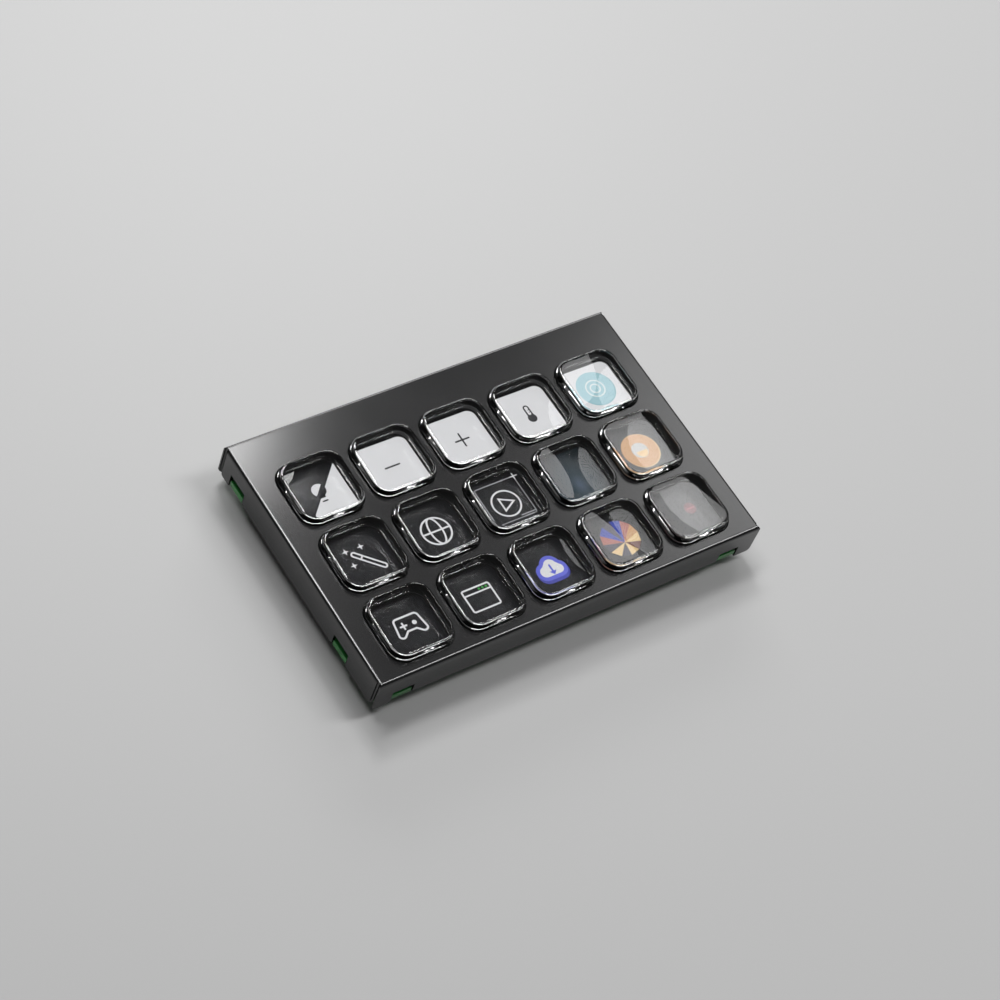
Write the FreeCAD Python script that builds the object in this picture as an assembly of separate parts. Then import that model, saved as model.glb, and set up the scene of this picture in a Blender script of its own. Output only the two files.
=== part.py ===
import FreeCAD, Part
import math
import os

# All sizes are millimetres. X runs along the long side, +Y towards the socket side,
# +Z out of the key face. The origin is under the middle, on the standoff ends.

# Key array
column_count = 5
row_count = 3
cap_spacing = 3.1

# Clear keycap
cap_top_width = 16.7
cap_top_corner_radius = 3.95
cap_rise = 2.3
cap_wall_draft = 0.15
cap_rim_round = 0.6
cap_foot_ledge = 0.25
cap_foot_height = 0.35
cap_rim_width = 0.7
cap_dish_radius = 220.0
cap_dish_edge_depth = 0.05
flange_overhang = 0.45
flange_thickness = 0.8
flange_gap = 0.1
plug_ledge = 1.25
plug_corner_radius = 3.5
plug_depth = 0.6
plug_hollow_radius = 2000.0
plug_hollow_depth = 1.0
plug_land = 0.35
key_travel = 0.8
key_hole_clearance = 0.2

# Silicone spring under each keycap
spring_side_clearance = 0.4
spring_plug_clearance = 0.4
spring_top_gap = 0.05

# Folded sheet cover
sheet_thickness = 0.8
bend_inside_radius = 0.1
side_border = 6.3
rear_border = 10.75
front_border = 3.45
corner_slit_width = 0.4
corner_relief_radius = 0.6
side_notch_rear_offset = 4.9
side_notch_front_offset = 12.2
side_notch_length = 6.2
side_notch_top_drop = 5.0
end_notch_offset = 4.7
end_notch_length = 5.8
end_notch_top_drop = 5.6
side_tab_drop = 0.5
side_tab_round = 1.3
end_tab_drop = 1.0
end_tab_round = 1.0
lip_reach = 2.5
lip_relief = 0.6

# Key guide grid
guide_side_clearance = 0.2
guide_wall_clearance = 0.25

# Contact film with its tail
film_thickness = 0.3
film_window_clearance = 0.2
film_tail_width = 9.0
film_tail_share = 0.507

# Display panel
panel_side_clearance = 0.7
panel_end_clearance = 0.85
glass_thickness = 1.0
light_guide_thickness = 1.6
light_guide_rear_setback = 2.2
tray_sheet = 0.3
tray_clearance = 0.1
panel_tail_width = 20.6
panel_tail_thickness = 0.15
panel_tail_share = -0.45
panel_tail_grip = 1.4
tail_slot_clearance = 0.5
tail_bend_radius = 0.35
tail_socket_entry = 3.2

# Foam between display and board
foam_thickness = 0.8
foam_width = 6.0
foam_inset = 3.0

# Circuit board
board_thickness = 1.6
board_wall_clearance = 0.2
board_corner_radius = 0.5
board_tab_setback = 0.2
board_tab_clearance = 0.3
board_tail_notch_depth = 1.3

# Threaded standoffs, which are also the feet
standoff_height = 4.0
standoff_across_flats = 5.5
standoff_side_inset = 9.25
standoff_end_inset = 8.25
standoff_bore_radius = 1.25
standoff_spigot_radius = 2.0
standoff_spigot_length = 1.4
standoff_hole_clearance = 0.05
standoff_edge_chamfer = 0.25

# Cable socket
socket_width = 8.94
socket_height = 3.16
socket_depth = 7.35
socket_corner_radius = 1.5
socket_shell_sheet = 0.28
socket_insert_clearance = 0.02
socket_back_depth = 1.6
socket_tongue_width = 6.7
socket_tongue_thickness = 0.7
socket_tongue_reach = 4.6
socket_wall_cut_clearance = 0.6

# Flat cable sockets on the board
flat_socket_height = 2.0
flat_socket_depth = 5.0
flat_socket_end_wall = 2.6
flat_socket_slot_height = 0.6
flat_socket_slot_clearance = 0.4
flat_socket_setback = 6.4
latch_depth = 1.5
latch_height = 0.9
latch_clearance = 0.05

# Chips
controller_width = 7.0
controller_height = 1.4
controller_leads_per_side = 12
controller_lead_pitch = 0.5
memory_length = 4.9
memory_width = 3.9
memory_height = 1.5
memory_leads_per_side = 4
memory_lead_pitch = 1.27
regulator_length = 6.5
regulator_width = 3.5
regulator_height = 1.6
regulator_leads_per_side = 3
regulator_lead_pitch = 2.3
lead_reach = 1.0
lead_thickness = 0.2
lead_width_share = 0.5
chip_seat_gap = 0.1
chip_edge_chamfer = 0.2

# Small board parts
crystal_length = 5.0
crystal_width = 3.2
crystal_height = 0.9
crystal_corner_radius = 0.5
inductor_width = 4.0
inductor_height = 1.9
inductor_corner_radius = 0.9
small_part_length = 1.6
small_part_width = 0.8
small_part_height = 0.8
small_part_end = 0.35
resistor_height = 0.45
test_pad_radius = 0.75
test_pad_thickness = 0.05
test_pad_pitch = 3.0
test_pad_count = 6

# One overrun serves all cuts
overrun = 1.0

# Places on the underside, as shares of half the board in X and Y
controller_shares = (0.08, 0.05)
memory_shares = (0.38, 0.12)
regulator_shares = (-0.04, 0.50)
inductor_shares = (0.16, 0.50)
crystal_shares = (-0.14, 0.05)
test_pad_shares = (0.30, -0.62)
controller_capacitor_shares = ((0.08, 0.24), (0.08, -0.15), (-0.03, 0.22), (0.19, -0.13))
supply_capacitor_shares = ((-0.15, 0.44), (-0.15, 0.56), (0.24, 0.44), (0.24, 0.56))
memory_capacitor_shares = ((0.38, -0.04), (0.48, 0.28))
socket_resistor_shares = ((-0.09, 0.70), (0.09, 0.70), (0.12, 0.78), (-0.12, 0.78))
panel_resistor_shares = ((-0.30, 0.40), (-0.36, 0.40), (-0.42, 0.40), (-0.48, 0.40), (-0.54, 0.40))
film_resistor_shares = ((0.44, 0.42), (0.50, 0.42), (0.56, 0.42))

# Sizes that follow from the driving ones
key_pitch = cap_top_width + cap_spacing
cover_width = (column_count - 1) * key_pitch + cap_top_width + 2 * side_border
cover_length = (row_count - 1) * key_pitch + cap_top_width + rear_border + front_border
bend_outside_radius = bend_inside_radius + sheet_thickness
cap_wall_foot_width = cap_top_width + 2 * cap_wall_draft
cap_neck_width = cap_wall_foot_width + 2 * cap_foot_ledge
key_hole_width = cap_neck_width + 2 * key_hole_clearance
flange_width = cap_neck_width + 2 * flange_overhang
guide_opening_width = flange_width + 2 * guide_side_clearance
cap_wall_foot_radius = cap_top_corner_radius + cap_wall_draft
cap_neck_radius = cap_wall_foot_radius + cap_foot_ledge
flange_corner_radius = cap_neck_radius + flange_overhang
plug_width = flange_width - 2 * plug_ledge
film_window_width = plug_width + 2 * film_window_clearance
spring_width = guide_opening_width - 2 * spring_side_clearance
spring_hole_width = plug_width + 2 * spring_plug_clearance
spring_wall = (spring_width - spring_hole_width) / 2
spring_hole_radius = plug_corner_radius + spring_plug_clearance
guide_depth = flange_gap + flange_thickness + plug_depth + key_travel
panel_width = cover_width - 2 * (sheet_thickness + panel_side_clearance)
panel_length = cover_length - 2 * (sheet_thickness + panel_end_clearance)
board_half_width = cover_width / 2 - sheet_thickness - board_wall_clearance
board_half_length = cover_length / 2 - sheet_thickness - board_wall_clearance
panel_tail_offset = panel_tail_share * board_half_width
film_tail_offset = film_tail_share * board_half_width
standoff_corner_radius = standoff_across_flats / math.sqrt(3)
controller_size = (controller_width, controller_width, controller_height)
memory_size = (memory_length, memory_width, memory_height)
regulator_size = (regulator_length, regulator_width, regulator_height)
front_row_y = front_border + (cap_top_width - cover_length) / 2
first_column_x = side_border + (cap_top_width - cover_width) / 2

# Levels, from the standoff ends up to the key face
board_bottom = standoff_height
board_top = board_bottom + board_thickness
tray_bottom = board_top + foam_thickness
light_guide_bottom = tray_bottom + tray_sheet
glass_bottom = light_guide_bottom + light_guide_thickness
film_bottom = glass_bottom + glass_thickness
film_top = film_bottom + film_thickness
plate_bottom = film_top + guide_depth
plate_top = plate_bottom + sheet_thickness
flange_top = plate_bottom - flange_gap
flange_bottom = flange_top - flange_thickness
plug_bottom = flange_bottom - plug_depth
rim_top = plate_top + cap_rise
lip_bottom = board_bottom - sheet_thickness


def block(x_range, y_range, z_range):
    corner = FreeCAD.Vector(x_range[0], y_range[0], z_range[0])
    sizes = [high - low for low, high in (x_range, y_range, z_range)]
    return Part.makeBox(*sizes, corner)


def centred_block(x_size, y_size, z_range, centre=(0, 0)):
    x_range = (centre[0] - x_size / 2, centre[0] + x_size / 2)
    y_range = (centre[1] - y_size / 2, centre[1] + y_size / 2)
    return block(x_range, y_range, z_range)


def rounded_wire(x_size, y_size, radius, z_level, centre=(0, 0)):
    """A rectangle with round corners, drawn corner by corner."""
    inner_x = x_size / 2 - radius
    inner_y = y_size / 2 - radius
    middle = FreeCAD.Vector(centre[0], centre[1], z_level)
    points = []
    for x_sign, y_sign, start in ((1, 1, 0), (-1, 1, 90), (-1, -1, 180), (1, -1, 270)):
        corner = middle + FreeCAD.Vector(x_sign * inner_x, y_sign * inner_y, 0)
        points.append([corner + on_circle(radius, start + turn) for turn in (0, 45, 90)])
    edges = []
    for number, turned in enumerate(points):
        following = points[(number + 1) % len(points)]
        edges.append(Part.Arc(*turned).toShape())
        edges.append(Part.makeLine(turned[-1], following[0]))
    return Part.Wire(edges)


def on_circle(radius, degrees):
    angle = math.radians(degrees)
    return FreeCAD.Vector(radius * math.cos(angle), radius * math.sin(angle), 0)


def rounded_prism(x_size, y_size, radius, z_range, centre=(0, 0)):
    face = Part.Face(rounded_wire(x_size, y_size, radius, z_range[0], centre))
    return face.extrude(FreeCAD.Vector(0, 0, z_range[1] - z_range[0]))


def cylinder(radius, z_range, centre=(0, 0)):
    foot = FreeCAD.Vector(centre[0], centre[1], z_range[0])
    return Part.makeCylinder(radius, z_range[1] - z_range[0], foot)


def joined(solids):
    whole = solids[0].fuse(solids[1:])
    return whole.removeSplitter()


def write(node, solid):
    if not solid.isValid():
        raise ValueError("bad solid in " + node)
    solid.exportStep(os.path.join("parts", node + ".step"))


def key_places():
    """Name ending and centre of each key, rear row first."""
    places = []
    for row in range(row_count):
        for column in range(column_count):
            x = first_column_x + column * key_pitch
            y = front_row_y + (row_count - 1 - row) * key_pitch
            places.append(("r%dc%d" % (row + 1, column + 1), (x, y)))
    return places


def key_openings(width, radius, z_range):
    return [rounded_prism(width, width, radius, z_range, centre) for _, centre in key_places()]


def corner_sag(ball_radius, width, corner_radius):
    """How far a ball's surface rises from its pole to the corner of a rounded square."""
    reach = (width / 2 - corner_radius) * math.sqrt(2) + corner_radius
    return ball_radius - math.sqrt(ball_radius ** 2 - reach ** 2)


def cap_body():
    foot_top = plate_top + cap_foot_height
    foot = rounded_wire(cap_wall_foot_width, cap_wall_foot_width, cap_wall_foot_radius, foot_top)
    top = rounded_wire(cap_top_width, cap_top_width, cap_top_corner_radius, rim_top)
    wall = Part.makeLoft([foot, top], True, True)
    rim_edges = [edge for edge in wall.Edges if on_level(edge, rim_top)]
    return wall.makeFillet(cap_rim_round, rim_edges)


def on_level(edge, z_level):
    box = edge.BoundBox
    return abs(box.ZMin - z_level) < cap_rim_round / 2 and abs(box.ZMax - z_level) < cap_rim_round / 2


def cap_dish():
    """What is hollowed out of the top face, down to a shallow ball shape."""
    width = cap_top_width - 2 * cap_rim_width
    radius = cap_top_corner_radius - cap_rim_width
    lowest = rim_top - cap_dish_edge_depth - corner_sag(cap_dish_radius, width, radius)
    inside = rounded_prism(width, width, radius, (lowest, rim_top + overrun))
    middle = FreeCAD.Vector(0, 0, lowest + cap_dish_radius)
    return Part.makeSphere(cap_dish_radius, middle).common(inside)


def plug_hollow():
    """What is hollowed out of the plug's lower face."""
    width = plug_width - 2 * plug_land
    radius = plug_corner_radius - plug_land
    highest = plug_bottom + plug_hollow_depth + corner_sag(plug_hollow_radius, width, radius)
    inside = rounded_prism(width, width, radius, (plug_bottom - overrun, highest))
    middle = FreeCAD.Vector(0, 0, highest - plug_hollow_radius)
    return Part.makeSphere(plug_hollow_radius, middle).common(inside)


def keycap():
    foot_top = plate_top + cap_foot_height
    plug = rounded_prism(plug_width, plug_width, plug_corner_radius, (plug_bottom, flange_bottom))
    flange = rounded_prism(flange_width, flange_width, flange_corner_radius, (flange_bottom, flange_top))
    neck = rounded_prism(cap_neck_width, cap_neck_width, cap_neck_radius, (flange_top, foot_top))
    whole = joined([plug, flange, neck, cap_body()])
    return whole.cut(cap_dish()).cut(plug_hollow())


def spring():
    z_range = (film_top, flange_bottom - spring_top_gap)
    ring = rounded_prism(spring_width, spring_width, spring_hole_radius + spring_wall, z_range)
    return ring.cut(rounded_prism(spring_hole_width, spring_hole_width, spring_hole_radius, z_range))


def side_cuts():
    """What is cut from the two side walls: bottom strips and notches."""
    rear = cover_length / 2 - sheet_thickness - corner_slit_width
    front = -rear
    rear_notch = cover_length / 2 - side_notch_rear_offset
    front_notch = side_notch_front_offset - cover_length / 2
    tab_bottom = board_bottom - side_tab_drop
    lip_start = lip_bottom + bend_outside_radius
    notch_top = plate_top - side_notch_top_drop
    below = lip_bottom - overrun
    cuts = []
    for x_sign in (-1, 1):
        x_range = wall_band(cover_width / 2, x_sign)
        cuts.append(block(x_range, (rear_notch - side_notch_length, rear_notch), (below, notch_top)))
        cuts.append(block(x_range, (front_notch, front_notch + side_notch_length), (below, notch_top)))
        cuts.append(block(x_range, (front, rear), (below, tab_bottom)))
        middle = (front_notch + side_notch_length, rear_notch - side_notch_length)
        cuts.append(block(x_range, middle, (below, lip_start)))
        for y_sign in (-1, 1):
            cuts.append(side_corner_cut(x_range, y_sign * rear, y_sign, tab_bottom))
    return cuts


def wall_band(outer_face, sign):
    """The band that holds one wall, a little over on both faces."""
    near = sign * (outer_face - sheet_thickness - bend_inside_radius / 2)
    far = sign * (outer_face + overrun)
    return (min(near, far), max(near, far))


def side_corner_cut(x_range, y_end, y_sign, z_low):
    """Rounds the lower corner of a side wall at its end."""
    radius = side_tab_round
    y_in = y_end - y_sign * radius
    square = block(x_range, (min(y_in, y_end), max(y_in, y_end)), (z_low, z_low + radius))
    middle = FreeCAD.Vector(x_range[0], y_in, z_low + radius)
    return square.cut(Part.makeCylinder(radius, x_range[1] - x_range[0], middle, FreeCAD.Vector(1, 0, 0)))


def end_corner_cut(y_range, x_end, x_sign, z_low):
    """Rounds the lower corner of a front or rear wall at its end."""
    radius = end_tab_round
    x_in = x_end - x_sign * radius
    square = block((min(x_in, x_end), max(x_in, x_end)), y_range, (z_low, z_low + radius))
    middle = FreeCAD.Vector(x_in, y_range[0], z_low + radius)
    return square.cut(Part.makeCylinder(radius, y_range[1] - y_range[0], middle, FreeCAD.Vector(0, 1, 0)))


def end_cuts():
    """What is cut from the front and rear walls: bottom strips, notches and the socket's relief."""
    notch_outer = cover_width / 2 - end_notch_offset
    notch_inner = notch_outer - end_notch_length
    tab_bottom = board_bottom - end_tab_drop
    notch_top = plate_top - end_notch_top_drop
    below = lip_bottom - overrun
    cuts = []
    for y_sign in (-1, 1):
        y_range = wall_band(cover_length / 2, y_sign)
        cuts.append(centred_strip(2 * notch_inner, y_range, (below, board_bottom)))
        for x_sign in (-1, 1):
            span = sorted((x_sign * notch_inner, x_sign * notch_outer))
            cuts.append(block(span, y_range, (below, notch_top)))
            cuts.append(end_corner_cut(y_range, x_sign * cover_width / 2, x_sign, tab_bottom))
    rear_band = wall_band(cover_length / 2, 1)
    relief_width = socket_width + 2 * socket_wall_cut_clearance
    relief_top = board_bottom + socket_wall_cut_clearance
    cuts.append(centred_strip(relief_width, rear_band, (below, relief_top)))
    return cuts


def centred_strip(x_size, y_range, z_range):
    return block((-x_size / 2, x_size / 2), y_range, z_range)


def corner_cuts():
    """The open slit and the round relief at each folded corner."""
    below = lip_bottom - overrun
    slit_outer = cover_length / 2 - sheet_thickness
    slit_inner = slit_outer - corner_slit_width
    cuts = []
    for x_sign in (-1, 1):
        x_range = wall_band(cover_width / 2, x_sign)
        for y_sign in (-1, 1):
            y_range = sorted((y_sign * slit_inner, y_sign * slit_outer))
            cuts.append(block(x_range, y_range, (below, plate_bottom)))
            centre = (x_sign * cover_width / 2, y_sign * (slit_inner + slit_outer) / 2)
            cuts.append(cylinder(corner_relief_radius, (below, plate_top + overrun), centre))
    return cuts


def cover_shell():
    """The folded tray without its notches: plate, bends and straight walls."""
    deepest = board_bottom - end_tab_drop
    outer = centred_block(cover_width, cover_length, (deepest, plate_top))
    outer = outer.makeFillet(bend_outside_radius, top_edges(outer, plate_top))
    inner_width = cover_width - 2 * sheet_thickness
    inner_length = cover_length - 2 * sheet_thickness
    inner = centred_block(inner_width, inner_length, (deepest - overrun, plate_bottom))
    inner = inner.makeFillet(bend_inside_radius, top_edges(inner, plate_bottom))
    return outer.cut(inner)


def top_edges(solid, z_level):
    flat = solid.BoundBox.ZLength / 100
    return [edge for edge in solid.Edges if edge.BoundBox.ZMin > z_level - flat]


def side_lip(x_sign):
    """The lip folded in under the board along one side."""
    outer_face = cover_width / 2
    start = lip_bottom + bend_outside_radius
    bend_x = outer_face - bend_outside_radius
    tip = outer_face - sheet_thickness - lip_reach
    diagonal = math.sqrt(0.5)
    points = [
        (outer_face, start),
        (bend_x + bend_outside_radius * diagonal, start - bend_outside_radius * diagonal),
        (bend_x, lip_bottom),
        (tip, lip_bottom),
        (tip, board_bottom),
        (bend_x, board_bottom),
        (bend_x + bend_inside_radius * diagonal, start - bend_inside_radius * diagonal),
        (outer_face - sheet_thickness, start),
    ]
    rear = cover_length / 2 - side_notch_rear_offset - side_notch_length - lip_relief
    front = side_notch_front_offset - cover_length / 2 + side_notch_length + lip_relief
    corners = [FreeCAD.Vector(x_sign * x, front, z) for x, z in points]
    edges = [
        Part.Arc(corners[0], corners[1], corners[2]).toShape(),
        Part.makeLine(corners[2], corners[3]),
        Part.makeLine(corners[3], corners[4]),
        Part.makeLine(corners[4], corners[5]),
        Part.Arc(corners[5], corners[6], corners[7]).toShape(),
        Part.makeLine(corners[7], corners[0]),
    ]
    return Part.Face(Part.Wire(edges)).extrude(FreeCAD.Vector(0, rear - front, 0))


def cover():
    hole_radius = cap_neck_radius + key_hole_clearance
    holes = key_openings(key_hole_width, hole_radius, (plate_bottom - overrun, plate_top + overrun))
    folded = cover_shell().cut(holes + side_cuts() + end_cuts() + corner_cuts())
    return joined([folded, side_lip(-1), side_lip(1)])


def key_guide():
    width = cover_width - 2 * (sheet_thickness + guide_wall_clearance)
    length = cover_length - 2 * (sheet_thickness + guide_wall_clearance)
    z_range = (film_top, plate_bottom)
    radius = flange_corner_radius + guide_side_clearance
    sheet = rounded_prism(width, length, board_corner_radius, z_range)
    return sheet.cut(key_openings(guide_opening_width, radius, z_range))


def tail_strip(thickness, width, x_centre, top_start, y_start):
    """A flat tail that leaves to the rear, turns down past the panel and turns in under the board."""
    drop_y = cover_length / 2 - sheet_thickness - panel_end_clearance / 2
    run_z = board_bottom - flat_socket_height / 2
    start_z = top_start - thickness / 2
    end_y = board_half_length - flat_socket_setback - tail_socket_entry
    outer = thickness / 2
    run_radius = tail_bend_radius + thickness
    path = [
        ("line", (y_start, start_z), (drop_y - tail_bend_radius, start_z), (0, 1)),
        ("arc", (drop_y - tail_bend_radius, start_z - tail_bend_radius), tail_bend_radius, (90, 0)),
        ("line", (drop_y, start_z - tail_bend_radius), (drop_y, run_z + run_radius), (1, 0)),
        ("arc", (drop_y - run_radius, run_z + run_radius), run_radius, (0, -90)),
        ("line", (drop_y - run_radius, run_z), (end_y, run_z), (0, -1)),
    ]
    outside = strip_side(path, outer)
    inside = strip_side(path, -outer)
    edges = outside + inside
    edges.append(Part.makeLine(strip_point(path[0][1], (0, outer)), strip_point(path[0][1], (0, -outer))))
    edges.append(Part.makeLine(strip_point(path[-1][2], (0, -outer)), strip_point(path[-1][2], (0, outer))))
    face = Part.Face(Part.Wire(Part.__sortEdges__(edges)))
    strip = face.extrude(FreeCAD.Vector(width, 0, 0))
    strip.translate(FreeCAD.Vector(x_centre - width / 2, 0, 0))
    return strip


def strip_point(place, shift):
    return FreeCAD.Vector(0, place[0] + shift[0], place[1] + shift[1])


def strip_side(path, offset):
    """One side of a strip: each straight run names its outward direction, each bend its angles."""
    edges = []
    for kind, first, second, facing in path:
        if kind == "line":
            shift = (facing[0] * offset, facing[1] * offset)
            edges.append(Part.makeLine(strip_point(first, shift), strip_point(second, shift)))
        else:
            edges.append(side_arc(first, second + offset, *facing))
    return edges


def side_arc(middle, radius, start, end):
    turned = []
    for degrees in (start, (start + end) / 2, end):
        angle = math.radians(degrees)
        turned.append(strip_point(middle, (radius * math.cos(angle), radius * math.sin(angle))))
    return Part.Arc(*turned).toShape()


def contact_film():
    sheet = centred_block(panel_width, panel_length, (film_bottom, film_top))
    windows = key_openings(film_window_width, plug_corner_radius, (film_bottom, film_top))
    y_start = panel_length / 2 - panel_end_clearance
    tail = tail_strip(film_thickness, film_tail_width, film_tail_offset, film_top, y_start)
    return joined([sheet.cut(windows), tail])


def lcd_tray():
    inner_width = panel_width - 2 * tray_sheet
    inner_length = panel_length - 2 * tray_sheet
    tray = centred_block(panel_width, panel_length, (tray_bottom, film_bottom))
    tray = tray.cut(centred_block(inner_width, inner_length, (light_guide_bottom, film_bottom)))
    slot_half = panel_tail_width / 2 + tail_slot_clearance
    slot_x = (panel_tail_offset - slot_half, panel_tail_offset + slot_half)
    slot_y = (panel_length / 2 - tray_sheet, panel_length / 2)
    slot_low = glass_bottom - panel_tail_thickness - 2 * tail_bend_radius
    return tray.cut(block(slot_x, slot_y, (slot_low, film_bottom)))


def lcd_light_guide():
    inset = tray_sheet + tray_clearance
    x_half = panel_width / 2 - inset
    y_half = panel_length / 2 - inset
    y_range = (-y_half, y_half - light_guide_rear_setback)
    return block((-x_half, x_half), y_range, (light_guide_bottom, glass_bottom))


def lcd_glass():
    inset = tray_sheet + tray_clearance
    return centred_block(panel_width - 2 * inset, panel_length - 2 * inset, (glass_bottom, film_bottom))


def lcd_tail():
    y_start = panel_length / 2 - tray_sheet - tray_clearance - panel_tail_grip
    return tail_strip(panel_tail_thickness, panel_tail_width, panel_tail_offset, glass_bottom, y_start)


def foam_frame():
    width = panel_width - 2 * foam_inset
    length = panel_length - 2 * foam_inset
    z_range = (board_top, tray_bottom)
    ring = centred_block(width, length, z_range)
    return ring.cut(centred_block(width - 2 * foam_width, length - 2 * foam_width, z_range))


def board_tabs():
    """The ears of the board that stand in the notches of the cover."""
    z_range = (board_bottom, board_top)
    x_reach = cover_width / 2 - board_tab_setback
    y_reach = cover_length / 2 - board_tab_setback
    rear_notch = cover_length / 2 - side_notch_rear_offset - board_tab_clearance
    front_notch = side_notch_front_offset - cover_length / 2 + board_tab_clearance
    side_length = side_notch_length - 2 * board_tab_clearance
    end_outer = cover_width / 2 - end_notch_offset - board_tab_clearance
    end_inner = end_outer - end_notch_length + 2 * board_tab_clearance
    tabs = []
    for low in (rear_notch - side_length, front_notch):
        tabs.append(block((-x_reach, x_reach), (low, low + side_length), z_range))
    for x_sign in (-1, 1):
        span = sorted((x_sign * end_inner, x_sign * end_outer))
        tabs.append(block(span, (-y_reach, y_reach), z_range))
    return tabs


def tail_notch(x_centre, width):
    half = width / 2 + tail_slot_clearance
    y_low = board_half_length - board_tail_notch_depth
    z_range = (board_bottom - overrun, board_top + overrun)
    return block((x_centre - half, x_centre + half), (y_low, board_half_length + overrun), z_range)


def standoff_places():
    half_x = cover_width / 2 - standoff_side_inset
    half_y = cover_length / 2 - standoff_end_inset
    return {
        "standoff_front_left": (-half_x, -half_y),
        "standoff_front_right": (half_x, -half_y),
        "standoff_rear_left": (-half_x, half_y),
        "standoff_rear_right": (half_x, half_y),
    }


def main_board():
    z_range = (board_bottom, board_top)
    sheet = rounded_prism(2 * board_half_width, 2 * board_half_length, board_corner_radius, z_range)
    board = joined([sheet] + board_tabs())
    cuts = [tail_notch(panel_tail_offset, panel_tail_width), tail_notch(film_tail_offset, film_tail_width)]
    hole_radius = standoff_spigot_radius + standoff_hole_clearance
    for centre in standoff_places().values():
        cuts.append(cylinder(hole_radius, z_range, centre))
    return board.cut(cuts)


def standoff(centre):
    corners = [on_circle(standoff_corner_radius, 60 * turn) for turn in range(7)]
    shift = FreeCAD.Vector(centre[0], centre[1], 0)
    outline = Part.makePolygon([corner + shift for corner in corners])
    body = Part.Face(outline).extrude(FreeCAD.Vector(0, 0, board_bottom))
    foot_radius = standoff_corner_radius - standoff_edge_chamfer
    flare = Part.makeCone(foot_radius, foot_radius + board_bottom, board_bottom, shift)
    body = body.common(flare)
    spigot = cylinder(standoff_spigot_radius, (board_bottom, board_bottom + standoff_spigot_length), centre)
    bore = cylinder(standoff_bore_radius, (0, board_bottom + standoff_spigot_length), centre)
    return joined([body, spigot]).cut(bore)


def socket_prism(shrink, y_range):
    """A flat-sided oval prism along Y, inside the cable socket by shrink."""
    width = socket_width - 2 * shrink
    height = socket_height - 2 * shrink
    middle = board_bottom - socket_height / 2
    outline = rounded_wire(width, height, socket_corner_radius - shrink, 0)
    face = Part.Face(outline)
    face.rotate(FreeCAD.Vector(0, 0, 0), FreeCAD.Vector(1, 0, 0), 90)
    face.translate(FreeCAD.Vector(0, y_range[1], middle))
    return face.extrude(FreeCAD.Vector(0, y_range[0] - y_range[1], 0))


def usb_shell():
    y_rear = cover_length / 2
    y_range = (y_rear - socket_depth, y_rear)
    return socket_prism(0, y_range).cut(socket_prism(socket_shell_sheet, y_range))


def usb_insert():
    y_back = cover_length / 2 - socket_depth
    back = socket_prism(socket_shell_sheet + socket_insert_clearance, (y_back, y_back + socket_back_depth))
    middle = board_bottom - socket_height / 2
    tongue_y = (y_back, y_back + socket_back_depth + socket_tongue_reach)
    tongue_z = (middle - socket_tongue_thickness / 2, middle + socket_tongue_thickness / 2)
    tongue = block((-socket_tongue_width / 2, socket_tongue_width / 2), tongue_y, tongue_z)
    return joined([back, tongue])


def flat_socket(x_centre, tail_width):
    """Housing of a flat cable socket, open to the rear, with a step for its latch."""
    width = tail_width + 2 * flat_socket_end_wall
    y_rear = board_half_length - flat_socket_setback
    y_range = (y_rear - flat_socket_depth, y_rear)
    low = board_bottom - flat_socket_height
    housing = block((x_centre - width / 2, x_centre + width / 2), y_range, (low, board_bottom))
    slot_half = tail_width / 2 + flat_socket_slot_clearance
    middle = board_bottom - flat_socket_height / 2
    slot_z = (middle - flat_socket_slot_height / 2, middle + flat_socket_slot_height / 2)
    slot_y = (y_rear - tail_socket_entry - flat_socket_slot_clearance, y_rear + overrun)
    slot = block((x_centre - slot_half, x_centre + slot_half), slot_y, slot_z)
    step_x = (x_centre - slot_half, x_centre + slot_half)
    step_y = (y_range[0] - overrun, y_range[0] + latch_depth + latch_clearance)
    step = block(step_x, step_y, (low - overrun, low + latch_height))
    return housing.cut([slot, step])


def flat_latch(x_centre, tail_width):
    """The flip latch that lies in the step of its socket."""
    half = tail_width / 2 + flat_socket_slot_clearance - latch_clearance
    y_low = board_half_length - flat_socket_setback - flat_socket_depth
    low = board_bottom - flat_socket_height
    y_range = (y_low, y_low + latch_depth)
    bar = block((x_centre - half, x_centre + half), y_range, (low, low + latch_height - latch_clearance))
    edges = [edge for edge in bar.Edges if edge.BoundBox.YMax < y_low + latch_clearance]
    lower = [edge for edge in edges if edge.BoundBox.ZMax < low + latch_clearance]
    return bar.makeChamfer(latch_height / 3, lower)


def on_board(shares):
    return (shares[0] * board_half_width, shares[1] * board_half_length)


def chip_body(x_size, y_size, height, shares):
    """A moulded chip body that hangs under the board."""
    z_range = (board_bottom - height, board_bottom - chip_seat_gap)
    body = centred_block(x_size, y_size, z_range, on_board(shares))
    lowest = z_range[0] + chip_edge_chamfer / 2
    edges = [edge for edge in body.Edges if edge.BoundBox.ZMax < lowest]
    return body.makeChamfer(chip_edge_chamfer, edges)


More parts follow.
